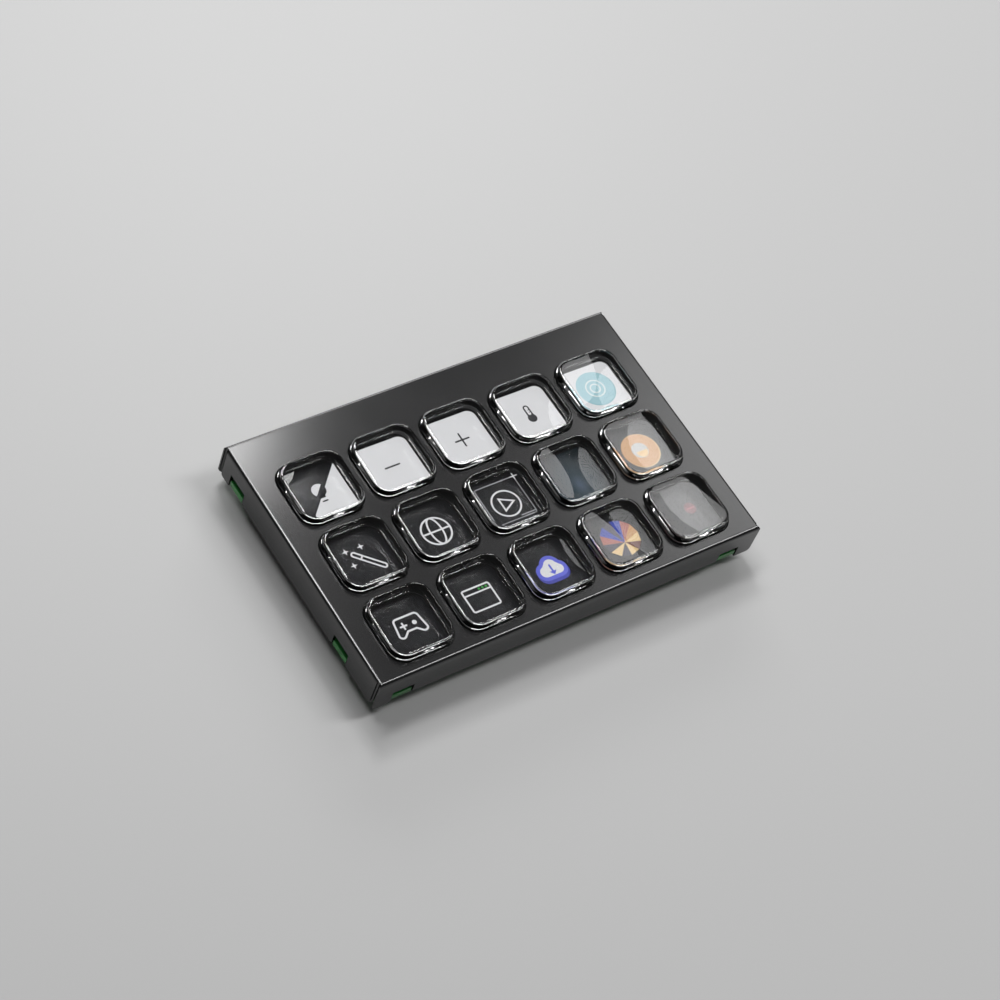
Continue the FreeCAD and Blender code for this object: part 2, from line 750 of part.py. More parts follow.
def leads_along(x_size, y_size, height, count, pitch, shares, along_x):
    """Two facing rows of bent leads, each a foot on the board and a riser to the body."""
    centre = on_board(shares)
    width = pitch * lead_width_share
    middle = board_bottom - height / 2
    across = (y_size if along_x else x_size) / 2
    leads = []
    post_in = across + (lead_reach - lead_thickness) / 2
    post_out = post_in + lead_thickness
    arm_low = middle - lead_thickness / 2
    for number in range(count):
        place = (number - (count - 1) / 2) * pitch
        spread = (place - width / 2, place + width / 2)
        for sign in (-1, 1):
            arm = sorted((sign * across, sign * post_out))
            post = sorted((sign * post_in, sign * post_out))
            foot = sorted((sign * post_in, sign * (across + lead_reach)))
            pieces = [
                lead_block(centre, spread, arm, (arm_low, arm_low + lead_thickness), along_x),
                lead_block(centre, spread, post, (arm_low, board_bottom), along_x),
                lead_block(centre, spread, foot, (board_bottom - lead_thickness, board_bottom), along_x),
            ]
            leads.append(joined(pieces))
    return leads


def lead_block(centre, spread, reach, z_range, along_x):
    x_local, y_local = (spread, reach) if along_x else (reach, spread)
    x_range = (centre[0] + x_local[0], centre[0] + x_local[1])
    y_range = (centre[1] + y_local[0], centre[1] + y_local[1])
    return block(x_range, y_range, z_range)


def chip_leads():
    count = controller_leads_per_side
    leads = leads_along(*controller_size, count, controller_lead_pitch, controller_shares, True)
    leads += leads_along(*controller_size, count, controller_lead_pitch, controller_shares, False)
    leads += leads_along(*memory_size, memory_leads_per_side, memory_lead_pitch, memory_shares, True)
    count = regulator_leads_per_side
    leads += leads_along(*regulator_size, count, regulator_lead_pitch, regulator_shares, True)
    return Part.makeCompound(leads)


def rounded_part(x_size, y_size, height, radius, shares):
    z_range = (board_bottom - height, board_bottom)
    return rounded_prism(x_size, y_size, radius, z_range, on_board(shares))


def small_parts(table, height):
    """Bodies and solder ends of the small two-ended parts at the places in the table."""
    bodies = []
    ends = []
    body_length = small_part_length - 2 * small_part_end
    z_range = (board_bottom - height, board_bottom)
    for shares in table:
        x, y = on_board(shares)
        bodies.append(centred_block(small_part_width, body_length, z_range, (x, y)))
        for sign in (-1, 1):
            end_y = y + sign * (body_length + small_part_end) / 2
            ends.append(centred_block(small_part_width, small_part_end, z_range, (x, end_y)))
    return bodies, ends


def test_pads():
    x, y = on_board(test_pad_shares)
    z_range = (board_bottom - test_pad_thickness, board_bottom)
    pads = []
    for number in range(test_pad_count):
        place = x + (number - (test_pad_count - 1) / 2) * test_pad_pitch
        pads.append(cylinder(test_pad_radius, z_range, (place, y)))
    return Part.makeCompound(pads)


def write_keys():
    cap = keycap()
    ring = spring()
    for ending, centre in key_places():
        shift = FreeCAD.Vector(centre[0], centre[1], 0)
        write("keycap_" + ending, cap.translated(shift))
        write("spring_" + ending, ring.translated(shift))


def crystal():
    radius = crystal_corner_radius
    return rounded_part(crystal_length, crystal_width, crystal_height, radius, crystal_shares)


def inductor():
    width = inductor_width
    return rounded_part(width, width, inductor_height, inductor_corner_radius, inductor_shares)


def write_board():
    write("main_board", main_board())
    for node, centre in standoff_places().items():
        write(node, standoff(centre))
    write("usb_shell", usb_shell())
    write("usb_insert", usb_insert())
    write("display_socket", flat_socket(panel_tail_offset, panel_tail_width))
    write("display_latch", flat_latch(panel_tail_offset, panel_tail_width))
    write("film_socket", flat_socket(film_tail_offset, film_tail_width))
    write("film_latch", flat_latch(film_tail_offset, film_tail_width))


def write_board_parts():
    write("controller_chip", chip_body(*controller_size, controller_shares))
    write("memory_chip", chip_body(*memory_size, memory_shares))
    write("regulator_chip", chip_body(*regulator_size, regulator_shares))
    write("chip_leads", chip_leads())
    write("crystal", crystal())
    write("inductor", inductor())
    capacitor_table = controller_capacitor_shares + supply_capacitor_shares + memory_capacitor_shares
    resistor_table = socket_resistor_shares + panel_resistor_shares + film_resistor_shares
    capacitors, capacitor_ends = small_parts(capacitor_table, small_part_height)
    resistors, resistor_ends = small_parts(resistor_table, resistor_height)
    write("capacitors", Part.makeCompound(capacitors))
    write("resistors", Part.makeCompound(resistors))
    write("solder_ends", Part.makeCompound(capacitor_ends + resistor_ends))
    write("test_pads", test_pads())


def write_stack():
    write("cover", cover())
    write("key_guide", key_guide())
    write("contact_film", contact_film())
    write("lcd_tray", lcd_tray())
    write("lcd_light_guide", lcd_light_guide())
    write("lcd_glass", lcd_glass())
    write("lcd_tail", lcd_tail())
    write("foam_frame", foam_frame())


os.makedirs("parts", exist_ok=True)
write_stack()
write_keys()
write_board()
write_board_parts()
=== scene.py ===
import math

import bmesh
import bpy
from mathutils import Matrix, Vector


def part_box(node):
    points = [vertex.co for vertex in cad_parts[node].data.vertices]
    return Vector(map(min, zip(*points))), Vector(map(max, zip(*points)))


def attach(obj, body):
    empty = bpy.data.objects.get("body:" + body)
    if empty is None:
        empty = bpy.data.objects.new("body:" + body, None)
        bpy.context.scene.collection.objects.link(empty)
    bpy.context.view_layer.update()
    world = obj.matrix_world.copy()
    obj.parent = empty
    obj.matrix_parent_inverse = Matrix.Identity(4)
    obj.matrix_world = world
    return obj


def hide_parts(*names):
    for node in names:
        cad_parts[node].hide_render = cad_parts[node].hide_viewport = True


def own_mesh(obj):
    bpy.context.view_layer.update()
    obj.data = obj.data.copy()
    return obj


bl_info = {
    "name": "Display key module",
    "version": (1, 0, 0),
    "blender": (4, 5, 0),
    "location": "3D View > Sidebar > Key module",
    "description": "Finishes, pictures, springs, contacts and stage of a display key module",
    "category": "Object",
}

from mathutils import Matrix, Vector

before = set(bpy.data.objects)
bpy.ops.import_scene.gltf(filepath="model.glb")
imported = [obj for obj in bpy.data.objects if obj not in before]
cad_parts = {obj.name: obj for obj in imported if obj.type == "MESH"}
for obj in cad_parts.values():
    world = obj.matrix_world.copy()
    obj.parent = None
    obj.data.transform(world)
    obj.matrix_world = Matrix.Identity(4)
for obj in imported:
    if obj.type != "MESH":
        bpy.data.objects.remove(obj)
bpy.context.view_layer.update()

MM = 0.001
SAME_POINT = 1e-7
ROWS = 3
COLUMNS = 5
KEYS = [f"r{row}c{column}" for row in range(1, ROWS + 1) for column in range(1, COLUMNS + 1)]

# Picture tiles, drawn in pixels from the tile's centre; the gap is a share of a pixel
PIXEL = 0.198 * MM
PIXEL_GAP = 0.12
UNLIT = (0.01, 0.01, 0.012)
TILE_PIXELS = 72
TILE_ROUND_PIXELS = 11
PICTURE_SHIFT = 0.65 * MM
TILE_THICKNESS = 0.02 * MM
STROKE_THICKNESS = 0.012 * MM

# The glowing picture: its middle from the keycap's low corner, and its reach in X and Y
GLOW_PLACE = Vector((9.9, 6.6, 0)) * MM
GLOW_REACH = Vector((9, 13)) * MM

# Rows of contacts: bar sizes are X, Y and Z
TAIL_PITCH = 0.5 * MM
PLUG_PITCH = 0.5 * MM
SOCKET_CONTACTS = {"display": 40, "film": 16}
SOCKET_FOOT = (0.22 * MM, 0.6 * MM, 0.14 * MM)
SOCKET_FOOT_REACH = 0.25 * MM
SOCKET_END = (0.5 * MM, 1.4 * MM, 0.14 * MM)
SOCKET_END_REACH = 0.4 * MM
TONGUE_CONTACTS = 12
TONGUE_STRIP = (0.26 * MM, 3.6 * MM, 0.04 * MM)
TONGUE_STRIP_SETBACK = 2.1 * MM
TONGUE_STRIP_LEVEL = 0.36 * MM

# Board: tracks, plated holes, marks on the chips and printed outlines
CHIPS = ("controller_chip", "memory_chip", "regulator_chip")
TRACK_BLOCK = Vector((11, 8.5)) * MM
TRACK_PITCH = 0.85 * MM
TRACK_WANDER = 0.35 * MM
VIA_RING_INSET = Vector((4.8, 2.8)) * MM
VIA_RING_TURN = 3 * MM
VIA_PLATING = 0.03 * MM
MARK_INSET = 1.1 * MM
MARK_RADIUS = 0.35 * MM
PRINT_WIDTH = 0.16 * MM
PRINT_TURN = 0.3 * MM
PRINT_SUNK = 0.02 * MM
PRINT_RAISED = 0.01 * MM
PRINT_ROOM = {
    "controller_chip": 1.5 * MM,
    "memory_chip": 1.4 * MM,
    "regulator_chip": 1.5 * MM,
    "crystal": 0.4 * MM,
    "inductor": 0.4 * MM,
    "display_socket": 0.9 * MM,
    "film_socket": 0.9 * MM,
}

# Standoffs and their screw thread
STANDOFFS = ("front_left", "front_right", "rear_left", "rear_right")
THREAD_PITCH = 0.5 * MM
THREAD_TURNS = 10
THREAD_RADIUS = 1.25 * MM
THREAD_TOOTH = 0.17 * MM
THREAD_START = 0.2 * MM

# Lamps: name, place and aim in metres, width and height or diameter in metres, watts, form
LAMPS = (
    ("lamp_right", (0.541, 0.266, 0.608), (0, 0, 0), (0.212, 0.212), 0.37, "DISK"),
    ("lamp_corner", (0.04, 0.154, 0.212), (-0.06, 0.04, 0), (0.046, 0.046), 0.08, "DISK"),
    ("lamp_key", (0.22, 0.69, 0.88), (0, 0, 0), (0.26, 0.26), 3.4, "DISK"),
    ("lamp_rear_rims", (0.48, 0.8, 0.36), (0, 0, 0), (0.7, 0.2), 3.5, "RECTANGLE"),
    ("lamp_left_rims", (-0.13, 0.44, 1.0), (-0.05, 0.2, 0), (0.64, 0.16), 5.4, "RECTANGLE"),
    ("lamp_front_rims", (0.54, -0.18, 0.9), (0.3, -0.05, 0), (0.16, 0.57), 5.0, "RECTANGLE"),
)
FLOOR_HALF = 6.0

# Camera: measured from the photograph's keys, in the part's own frame
CAMERA_PLACE = Vector((-319.2, -255.5, 530.7)) * MM
CAMERA_RIGHT = Vector((0.81507, -0.52548, 0.24399))
CAMERA_DOWN = Vector((-0.32014, -0.75950, -0.56627))
CAMERA_LENS = 101.6
CAMERA_SENSOR = 36.0


def sum_of(operation, turned=False):
    """What a sign between two numbers does; turned when the signal stands second."""

    def apply(self, other):
        return self.finish.work(operation, *((other, self) if turned else (self, other)))

    return apply


class Signal:
    """A number that runs through a finish's nodes and can be used in sums."""

    def __init__(self, finish, socket):
        self.finish = finish
        self.socket = socket

    __add__ = sum_of("ADD")
    __radd__ = sum_of("ADD", turned=True)
    __sub__ = sum_of("SUBTRACT")
    __rsub__ = sum_of("SUBTRACT", turned=True)
    __mul__ = sum_of("MULTIPLY")
    __rmul__ = sum_of("MULTIPLY", turned=True)
    __truediv__ = sum_of("DIVIDE")
    __pow__ = sum_of("POWER")
    __gt__ = sum_of("GREATER_THAN")
    __lt__ = sum_of("LESS_THAN")


class Finish:
    """One material and the nodes that make its look."""

    def __init__(self, name, **constants):
        self.material = bpy.data.materials.new(name)
        self.material.use_nodes = True
        self.tree = self.material.node_tree
        self.tree.nodes.clear()
        output = self.tree.nodes.new("ShaderNodeOutputMaterial")
        self.surface = self.tree.nodes.new("ShaderNodeBsdfPrincipled")
        self.tree.links.new(self.surface.outputs["BSDF"], output.inputs["Surface"])
        for socket, value in constants.items():
            self.set(socket.replace("_", " "), value)

    def set(self, socket, value):
        """Sets a socket of the surface shader, or links a signal to it."""
        self._feed(self.surface.inputs[socket], value)

    def _feed(self, socket, value):
        if isinstance(value, Signal):
            self.tree.links.new(value.socket, socket)
        elif socket.type == "RGBA" and len(value) == 3:
            socket.default_value = (*value, 1.0)
        else:
            socket.default_value = value

    def node(self, kind, settings=None, inputs=(), output=0):
        """Adds a node: its settings first, then its sockets by order or by name."""
        made = self.tree.nodes.new(kind)
        for name, value in (settings or {}).items():
            if name == "stops":
                fill_ramp(made.color_ramp, value)
            else:
                setattr(made, name, value)
        pairs = inputs.items() if isinstance(inputs, dict) else enumerate(inputs)
        for place, value in pairs:
            self._feed(made.inputs[place], value)
        return Signal(self, made.outputs[output])

    def work(self, operation, *numbers):
        """One sum by the maths node."""
        return self.node("ShaderNodeMath", {"operation": operation}, numbers)

    def place(self):
        """The point on the piece, in metres."""
        return self.node("ShaderNodeTexCoord", output="Object")

    def axes(self):
        """The point's X, Y and Z as three numbers."""
        split = self.node("ShaderNodeSeparateXYZ", inputs=(self.place(),))
        return [Signal(self, split.socket.node.outputs[number]) for number in range(3)]

    def noise(self, scale, detail=2.0, stretch=(1, 1, 1)):
        """Cloudy noise from 0 to 1 with a given number of blotches to the metre."""
        place = self.node("ShaderNodeMapping", inputs={"Vector": self.place(), "Scale": stretch})
        wanted = {"Vector": place, "Scale": scale, "Detail": detail}
        return self.node("ShaderNodeTexNoise", inputs=wanted, output="Fac")

    def mix(self, share, first, second):
        """A colour between two colours."""
        inputs = {0: share, 6: first, 7: second}
        return self.node("ShaderNodeMix", {"data_type": "RGBA"}, inputs, output=2)

    def ramp(self, value, stops):
        return self.node("ShaderNodeValToRGB", {"stops": stops}, (value,))

    def span(self, value, low, high):
        """Maps a number's range to 0 to 1 and holds it there."""
        return self.node("ShaderNodeMapRange", inputs=(value, low, high))

    def bump(self, height, depth, strength=1.0):
        """Dents the surface by a height field of the given depth in metres."""
        wanted = {"Strength": strength, "Distance": depth, "Height": height}
        self.set("Normal", self.node("ShaderNodeBump", inputs=wanted, output="Normal"))


def speckled(name, low, change, scale, **constants):
    """A finish whose roughness varies a little from spot to spot."""
    finish = Finish(name, **constants)
    finish.set("Roughness", low + change * finish.noise(scale))
    return finish


def shade(colour, share):
    return tuple(channel * share for channel in colour)


def fill_ramp(ramp, stops):
    while len(ramp.elements) > 1:
        ramp.elements.remove(ramp.elements[-1])
    for number, (place, colour) in enumerate(stops):
        element = ramp.elements[0] if number == 0 else ramp.elements.new(place)
        element.position = place
        element.color = (*colour, 1.0)


def dress(node, finish):
    """Gives a carried-over piece its finish."""
    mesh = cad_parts[node].data
    mesh.materials.clear()
    mesh.materials.append(finish.material)


def linked(name, data):
    """A new object in the scene."""
    made = bpy.data.objects.new(name, data)
    bpy.context.scene.collection.objects.link(made)
    return made


def add_piece(name, mesh, body="root", stands_for=()):
    """Puts a finished mesh in the scene as a piece that rides on a body."""
    piece = linked(name, mesh)
    if stands_for:
        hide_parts(*stands_for)
    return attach(piece, body)


def fill_mesh(shape, mesh, smooth_under):
    """Fills a mesh from a bmesh: faces outwards, edges under an angle in degrees smooth."""
    bmesh.ops.recalc_face_normals(shape, faces=shape.faces[:])
    shape.to_mesh(mesh)
    shape.free()
    if smooth_under:
        mesh.shade_smooth()
        mesh.set_sharp_from_angle(angle=math.radians(smooth_under))
    return mesh


def mesh_of(name, shape, finishes, smooth_under=None):
    """Turns a bmesh into a mesh with its finishes."""
    mesh = bpy.data.meshes.new(name)
    for finish in finishes:
        mesh.materials.append(finish.material)
    return fill_mesh(shape, mesh, smooth_under)


def shifted(mesh, shift):
    moved = mesh.copy()
    moved.transform(Matrix.Translation(shift))
    return moved


class Pattern:
    """A Geometry Nodes tree with named inputs that is worked out once into a plain mesh."""

    def __init__(self, name):
        self.tree = bpy.data.node_groups.new(name, "GeometryNodeTree")
        kind = "NodeSocketGeometry"
        self.tree.interface.new_socket("Geometry", in_out="OUTPUT", socket_type=kind)
        self.start = self.tree.nodes.new("NodeGroupInput")
        self.values = {}

    def size(self, name, value):
        """Adds a named input and returns its socket."""
        kind = "NodeSocketInt" if isinstance(value, int) else "NodeSocketFloat"
        item = self.tree.interface.new_socket(name, in_out="INPUT", socket_type=kind)
        self.values[item.identifier] = value
        return self.start.outputs[name]

    def node(self, kind, settings=None, inputs=None, output=0):
        made = self.tree.nodes.new(kind)
        for name, value in (settings or {}).items():
            setattr(made, name, value)
        for place, value in (inputs or {}).items():
            if isinstance(value, bpy.types.NodeSocket):
                self.tree.links.new(value, made.inputs[place])
            else:
                made.inputs[place].default_value = value
        return made.outputs[output]

    def vector(self, x=0.0, y=0.0, z=0.0):
        return self.node("ShaderNodeCombineXYZ", inputs={0: x, 1: y, 2: z})

    def rounded_loop(self, width, length, radius, steps):
        """A closed rectangle with round corners."""
        loop = self.node("GeometryNodeCurvePrimitiveQuadrilateral", inputs={0: width, 1: length})
        wanted = {0: loop, 1: steps, 2: radius}
        return self.node("GeometryNodeFilletCurve", {"mode": "POLY"}, wanted)

    def row_of(self, instance, count, offset, start):
        """Copies of a shape in a line."""
        wanted = {"Count": count, "Start Location": start, "Offset": offset}
        wanted = {"Points": self.node("GeometryNodeMeshLine", inputs=wanted), "Instance": instance}
        return self.node("GeometryNodeInstanceOnPoints", inputs=wanted)

    def grown(self, geometry, finish, smooth_under=None):
        """Ends the tree and returns what it makes as a plain mesh."""
        whole = self.node("GeometryNodeRealizeInstances", inputs={0: geometry})
        painted = self.node("GeometryNodeSetMaterial", inputs={0: whole, 2: finish.material})
        end = self.tree.nodes.new("NodeGroupOutput")
        self.tree.links.new(painted, end.inputs[0])
        carrier = linked(self.tree.name, bpy.data.meshes.new(self.tree.name))
        modifier = carrier.modifiers.new("pattern", "NODES")
        modifier.node_group = self.tree
        for identifier, value in self.values.items():
            modifier[identifier] = value
        view = bpy.context.evaluated_depsgraph_get()
        mesh = bpy.data.meshes.new_from_object(carrier.evaluated_get(view))
        bpy.data.objects.remove(carrier)
        shape = bmesh.new()
        shape.from_mesh(mesh)
        bmesh.ops.remove_doubles(shape, verts=shape.verts[:], dist=SAME_POINT)
        return fill_mesh(shape, mesh, smooth_under)


def slab(shape, outline, low, high, finish_number):
    """A closed flat solid over an outline of points, from low to high."""
    bottom = [shape.verts.new((x, y, low)) for x, y in outline]
    top = [shape.verts.new((x, y, high)) for x, y in outline]
    faces = [shape.faces.new(bottom[::-1]), shape.faces.new(top)]
    for number in range(len(outline)):
        after = (number + 1) % len(outline)
        faces.append(shape.faces.new((bottom[number], bottom[after], top[after], top[number])))
    for face in faces:
        face.material_index = finish_number


def arc(centre, radius, start, end, steps=12, squeeze=1.0):
    """Points along an arc, in degrees anticlockwise from +X; squeeze narrows it in X."""
    points = []
    for step in range(steps + 1):
        angle = math.radians(start + (end - start) * step / steps)
        x, y = squeeze * radius * math.cos(angle), radius * math.sin(angle)
        points.append((centre[0] + x, centre[1] + y))
    return points


def rounded_square(centre, width, height, radius, steps=6):
    x, y = centre
    points = []
    for x_sign, y_sign, start in ((1, 1, 0), (-1, 1, 90), (-1, -1, 180), (1, -1, 270)):
        corner = (x + x_sign * (width / 2 - radius), y + y_sign * (height / 2 - radius))
        points += arc(corner, radius, start, start + 90, steps)
    return points


def stroke_outline(points, width):
    """The outline of an open line drawn with a round pen."""
    half = width / 2
    left, right = [], []
    for number, point in enumerate(points):
        before = points[max(number - 1, 0)]
        after = points[min(number + 1, len(points) - 1)]
        dx, dy = after[0] - before[0], after[1] - before[1]
        size = math.hypot(dx, dy)
        nx, ny = -dy / size * half, dx / size * half
        left.append((point[0] + nx, point[1] + ny))
        right.append((point[0] - nx, point[1] - ny))
    end = math.degrees(math.atan2(left[-1][1] - points[-1][1], left[-1][0] - points[-1][0]))
    start = math.degrees(math.atan2(right[0][1] - points[0][1], right[0][0] - points[0][0]))
    end_cap = arc(points[-1], half, end, end - 180, 6)[1:-1]
    start_cap = arc(points[0], half, start, start - 180, 6)[1:-1]
    return left + end_cap + right[::-1] + start_cap


def closed_stroke(shape, points, width, low, high, finish_number):
    """A closed line of even width as a closed ring."""
    count = len(points)
    rings = ([], [], [], [])
    for number, point in enumerate(points):
        before, after = points[number - 1], points[(number + 1) % count]
        back = Vector((point[0] - before[0], point[1] - before[1])).normalized()
        ahead = Vector((after[0] - point[0], after[1] - point[1])).normalized()
        mean = (back + ahead).normalized()
        reach = width / 2 / max(mean.dot(ahead), 0.5)
        side = Vector((-mean.y, mean.x)) * reach
        for ring, sign, level in zip(rings, (1, 1, -1, -1), (low, high, high, low)):
            x, y = point[0] + sign * side.x, point[1] + sign * side.y
            ring.append(shape.verts.new((x, y, level)))
    for number in range(count):
        after = (number + 1) % count
        for place in range(4):
            first, second = rings[place], rings[(place + 1) % 4]
            face = shape.faces.new((first[number], first[after], second[after], second[number]))
            face.material_index = finish_number


class Picture:
    """Draws one key's picture in pixels: a tile and the shapes on it, each a thin closed solid."""

    def __init__(self, key, inks):
        low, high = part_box("keycap_" + key)
        self.x = (low.x + high.x) / 2 + PICTURE_SHIFT
        self.y = (low.y + high.y) / 2
        self.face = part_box("lcd_glass")[1].z
        self.key = key
        self.inks = inks
        self.shape = bmesh.new()
        self.tones = []
        self.layer = 0

    def _number(self, tone):
        if tone not in self.tones:
            self.tones.append(tone)
        return self.tones.index(tone)

    def _levels(self):
        low = self.face + TILE_THICKNESS + self.layer * STROKE_THICKNESS
        return low, low + STROKE_THICKNESS

    def _real(self, points):
        return [(self.x + x * PIXEL, self.y + y * PIXEL) for x, y in points]

    def next_layer(self):
        self.layer += 1
        return self

    def tile(self, tone):
        outline = self._real(rounded_square((0, 0), TILE_PIXELS, TILE_PIXELS, TILE_ROUND_PIXELS))
        slab(self.shape, outline, self.face, self.face + TILE_THICKNESS, self._number(tone))

    def area(self, points, tone):
        slab(self.shape, self._real(points), *self._levels(), self._number(tone))

    def line(self, points, width, tone):
        self.area(stroke_outline(points, width), tone)

    def loop(self, points, width, tone):
        real = self._real(points)
        closed_stroke(self.shape, real, width * PIXEL, *self._levels(), self._number(tone))

    def disc(self, centre, radius, tone, steps=40):
        self.area(arc(centre, radius, 0, 360 - 360 / steps, steps - 1), tone)

    def ring(self, centre, radius, width, tone, squeeze=1.0, steps=44):
        self.loop(arc(centre, radius, 0, 360 - 360 / steps, steps - 1, squeeze), width, tone)

    def done(self):
        name = "picture_" + self.key
        finishes = [self.inks[tone] for tone in self.tones]
        add_piece(name, mesh_of(name, self.shape, finishes))


def lit(name, colour, strength):
    """A lit patch of the display: its colour with a faint pixel grid."""
    finish = Finish(name, Base_Color=UNLIT, Roughness=0.25, Emission_Strength=strength)
    x, y, _ = finish.axes()
    columns, rows = (1 - 0.5 * (finish.work("FRACT", axis / PIXEL) < PIXEL_GAP) for axis in (x, y))
    finish.set("Emission Color", finish.mix(columns * rows, shade(colour, 0.8), colour))
    return finish


def glowing(name, strength):
    """A dark patch with soft teal and blue light near its middle."""
    finish = Finish(name, Base_Color=UNLIT, Roughness=0.25, Emission_Strength=strength)
    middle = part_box("keycap_r2c4")[0] + GLOW_PLACE
    x, y, _ = finish.axes()
    across, along = (x - middle.x) / GLOW_REACH.x, (y - middle.y) / GLOW_REACH.y
    reach = (across * across + along * along) ** 0.5 + 0.25 * finish.noise(140, 3.0)
    stops = ((0.05, (0.06, 0.1, 0.16)), (0.35, (0.012, 0.035, 0.05)), (0.9, (0.003, 0.008, 0.011)))
    finish.set("Emission Color", finish.ramp(reach, stops))
    return finish


class CoverLook(bpy.types.PropertyGroup):
    colour: bpy.props.FloatVectorProperty(
        name="Colour", description="Colour of the coated sheet",
        default=(0.006, 0.006, 0.0064), size=3, subtype="COLOR",
    )
    roughness: bpy.props.FloatProperty(
        name="Roughness", description="How satin the coat is",
        default=0.21, min=0, max=1, subtype="FACTOR",
    )


class CapLook(bpy.types.PropertyGroup):
    tint: bpy.props.FloatVectorProperty(
        name="Tint", description="Colour of the clear keycaps",
        default=(0.97, 0.975, 0.975), size=3, subtype="COLOR",
    )
    bending: bpy.props.FloatProperty(
        name="Refraction", description="Refractive index of the keycaps", default=1.49, min=1, max=2
    )


class SpringLook(bpy.types.PropertyGroup):
    wall: bpy.props.FloatProperty(
        name="Wall", description="Thickness of the silicone wall",
        default=0.7 * MM, min=0.5 * MM, unit="LENGTH",
    )
    corner: bpy.props.FloatProperty(
        name="Corner radius", description="Outer corner radius of the ring",
        default=4.6 * MM, unit="LENGTH",
    )
    keep: bpy.props.FloatProperty(
        name="Pressed height", description="Share of its height that a pressed spring keeps",
        default=0.44, min=0.1, max=1,
    )
    foam_width: bpy.props.FloatProperty(
        name="Foam strip", description="Width of the foam strip behind the display",
        default=6.0 * MM, unit="LENGTH",
    )


class DisplayLook(bpy.types.PropertyGroup):
    brightness: bpy.props.FloatProperty(
        name="Brightness", description="Strength of the lit pictures", default=0.74, min=0, max=5
    )
    white: bpy.props.FloatVectorProperty(
        name="White", description="Colour of a white picture",
        default=(0.98, 0.98, 1.0), size=3, subtype="COLOR",
    )


class BoardLook(bpy.types.PropertyGroup):
    mask: bpy.props.FloatVectorProperty(
        name="Solder mask", description="Colour of the circuit board",
        default=(0.024, 0.25, 0.042), size=3, subtype="COLOR",
    )
    via_spacing: bpy.props.FloatProperty(
        name="Via spacing", description="Distance between the plated holes along the edge",
        default=3.4 * MM, unit="LENGTH",
    )
    via_radius: bpy.props.FloatProperty(
        name="Via radius", description="Radius of the rings round the plated holes",
        default=0.3 * MM, unit="LENGTH",
    )


class StageLook(bpy.types.PropertyGroup):
    floor: bpy.props.FloatVectorProperty(
        name="Floor", description="Colour of the floor",
        default=(0.42, 0.42, 0.42), size=3, subtype="COLOR",
    )
    sky: bpy.props.FloatProperty(
        name="Room light", description="Strength of the even room light", default=0.1, min=0
    )


class KEYMODULE_OT_cover(bpy.types.Operator):
    """Give the folded cover its satin coat"""

    bl_idname = "keymodule.cover"
    bl_label = "Cover"

    def execute(self, context):
        look = context.scene.keymodule_cover
        coat = Finish("satin_coat", IOR=1.68)
        cloud = coat.noise(60, 3.0)
        coat.set("Base Color", coat.mix(cloud, shade(look.colour, 0.8), look.colour))
        coat.set("Roughness", look.roughness - 0.02 + 0.04 * cloud)
        coat.bump(coat.noise(7000, 1.0), 0.000003, 0.2)
        dress("cover", coat)
        return {"FINISHED"}


class KEYMODULE_OT_keycaps(bpy.types.Operator):
    """Make the keycaps clear and polished"""

    bl_idname = "keymodule.keycaps"
    bl_label = "Keycaps"

    def execute(self, context):
        look = context.scene.keymodule_caps
        clear = Finish("clear_acrylic", Roughness=0.0, Transmission_Weight=1.0, IOR=look.bending)
        clear.set("Base Color", clear.mix(clear.noise(90), shade(look.tint, 0.985), look.tint))
        wall = speckled("black_gloss", 0.2, 0.1, 500, Base_Color=(0.003, 0.003, 0.0033), IOR=1.25)
        for key in KEYS:
            low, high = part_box("keycap_" + key)
            shape = bmesh.new()
            fill_keycap(shape, (low.x + high.x) / 2, (low.y + high.y) / 2, low.z)
            mesh = mesh_of("clear_cap_" + key, shape, [clear, wall], smooth_under=35)
            add_piece("clear_cap_" + key, mesh, "key_" + key, ["keycap_" + key])
        return {"FINISHED"}


# Keycap sizes in mm, heights from the plug's lower face. The outline runs from the plug's lower
# edge round to the dish's edge: half width, height, half width less corner radius, edge rounding.
CAP_OUTLINE = (
    (7.6, 1.3, 4.1, 0.0),
    (7.6, 0.0, 4.1, 0.08),
    (7.95, 0.0, 4.1, 0.12),
    (7.95, 0.6, 4.1, 0.03),
    (9.2, 0.6, 4.4, 0.12),
    (9.2, 1.4, 4.4, 0.12),
    (8.8, 1.4, 4.4, 0.05),
    (8.8, 2.35, 4.4, 0.12),
    (8.4, 2.75, 4.4, 0.2),
    (8.35, 4.6, 4.4, 0.72),
    (7.49, 4.6, 4.4, 0.01),
)
ROUNDING_SHARES = (0.0, 0.25, 0.5, 0.75, 1.0)
ROUNDING_HOLD = 0.15
CAP_CORNER_STEPS = 14
CAP_RUN_STEPS = 6
# The rings whose faces are black: from the hollow's edge round to the ledge at the cap's foot
BLACK_RINGS = range(10, 55)
CAP_HEIGHT = 4.6
DISH_HALF = 7.48
DISH_CORE = 4.4
DISH_RADIUS = 220.0
DISH_EDGE_DEPTH = 0.03
HOLLOW_HALF = 7.56
HOLLOW_CORE = 4.1
HOLLOW_DEPTH = 1.36
HOLLOW_RADIUS = 2000.0
FACE_SHARES = (0.985, 0.94, 0.86, 0.76, 0.65, 0.54, 0.43, 0.32, 0.21, 0.1)


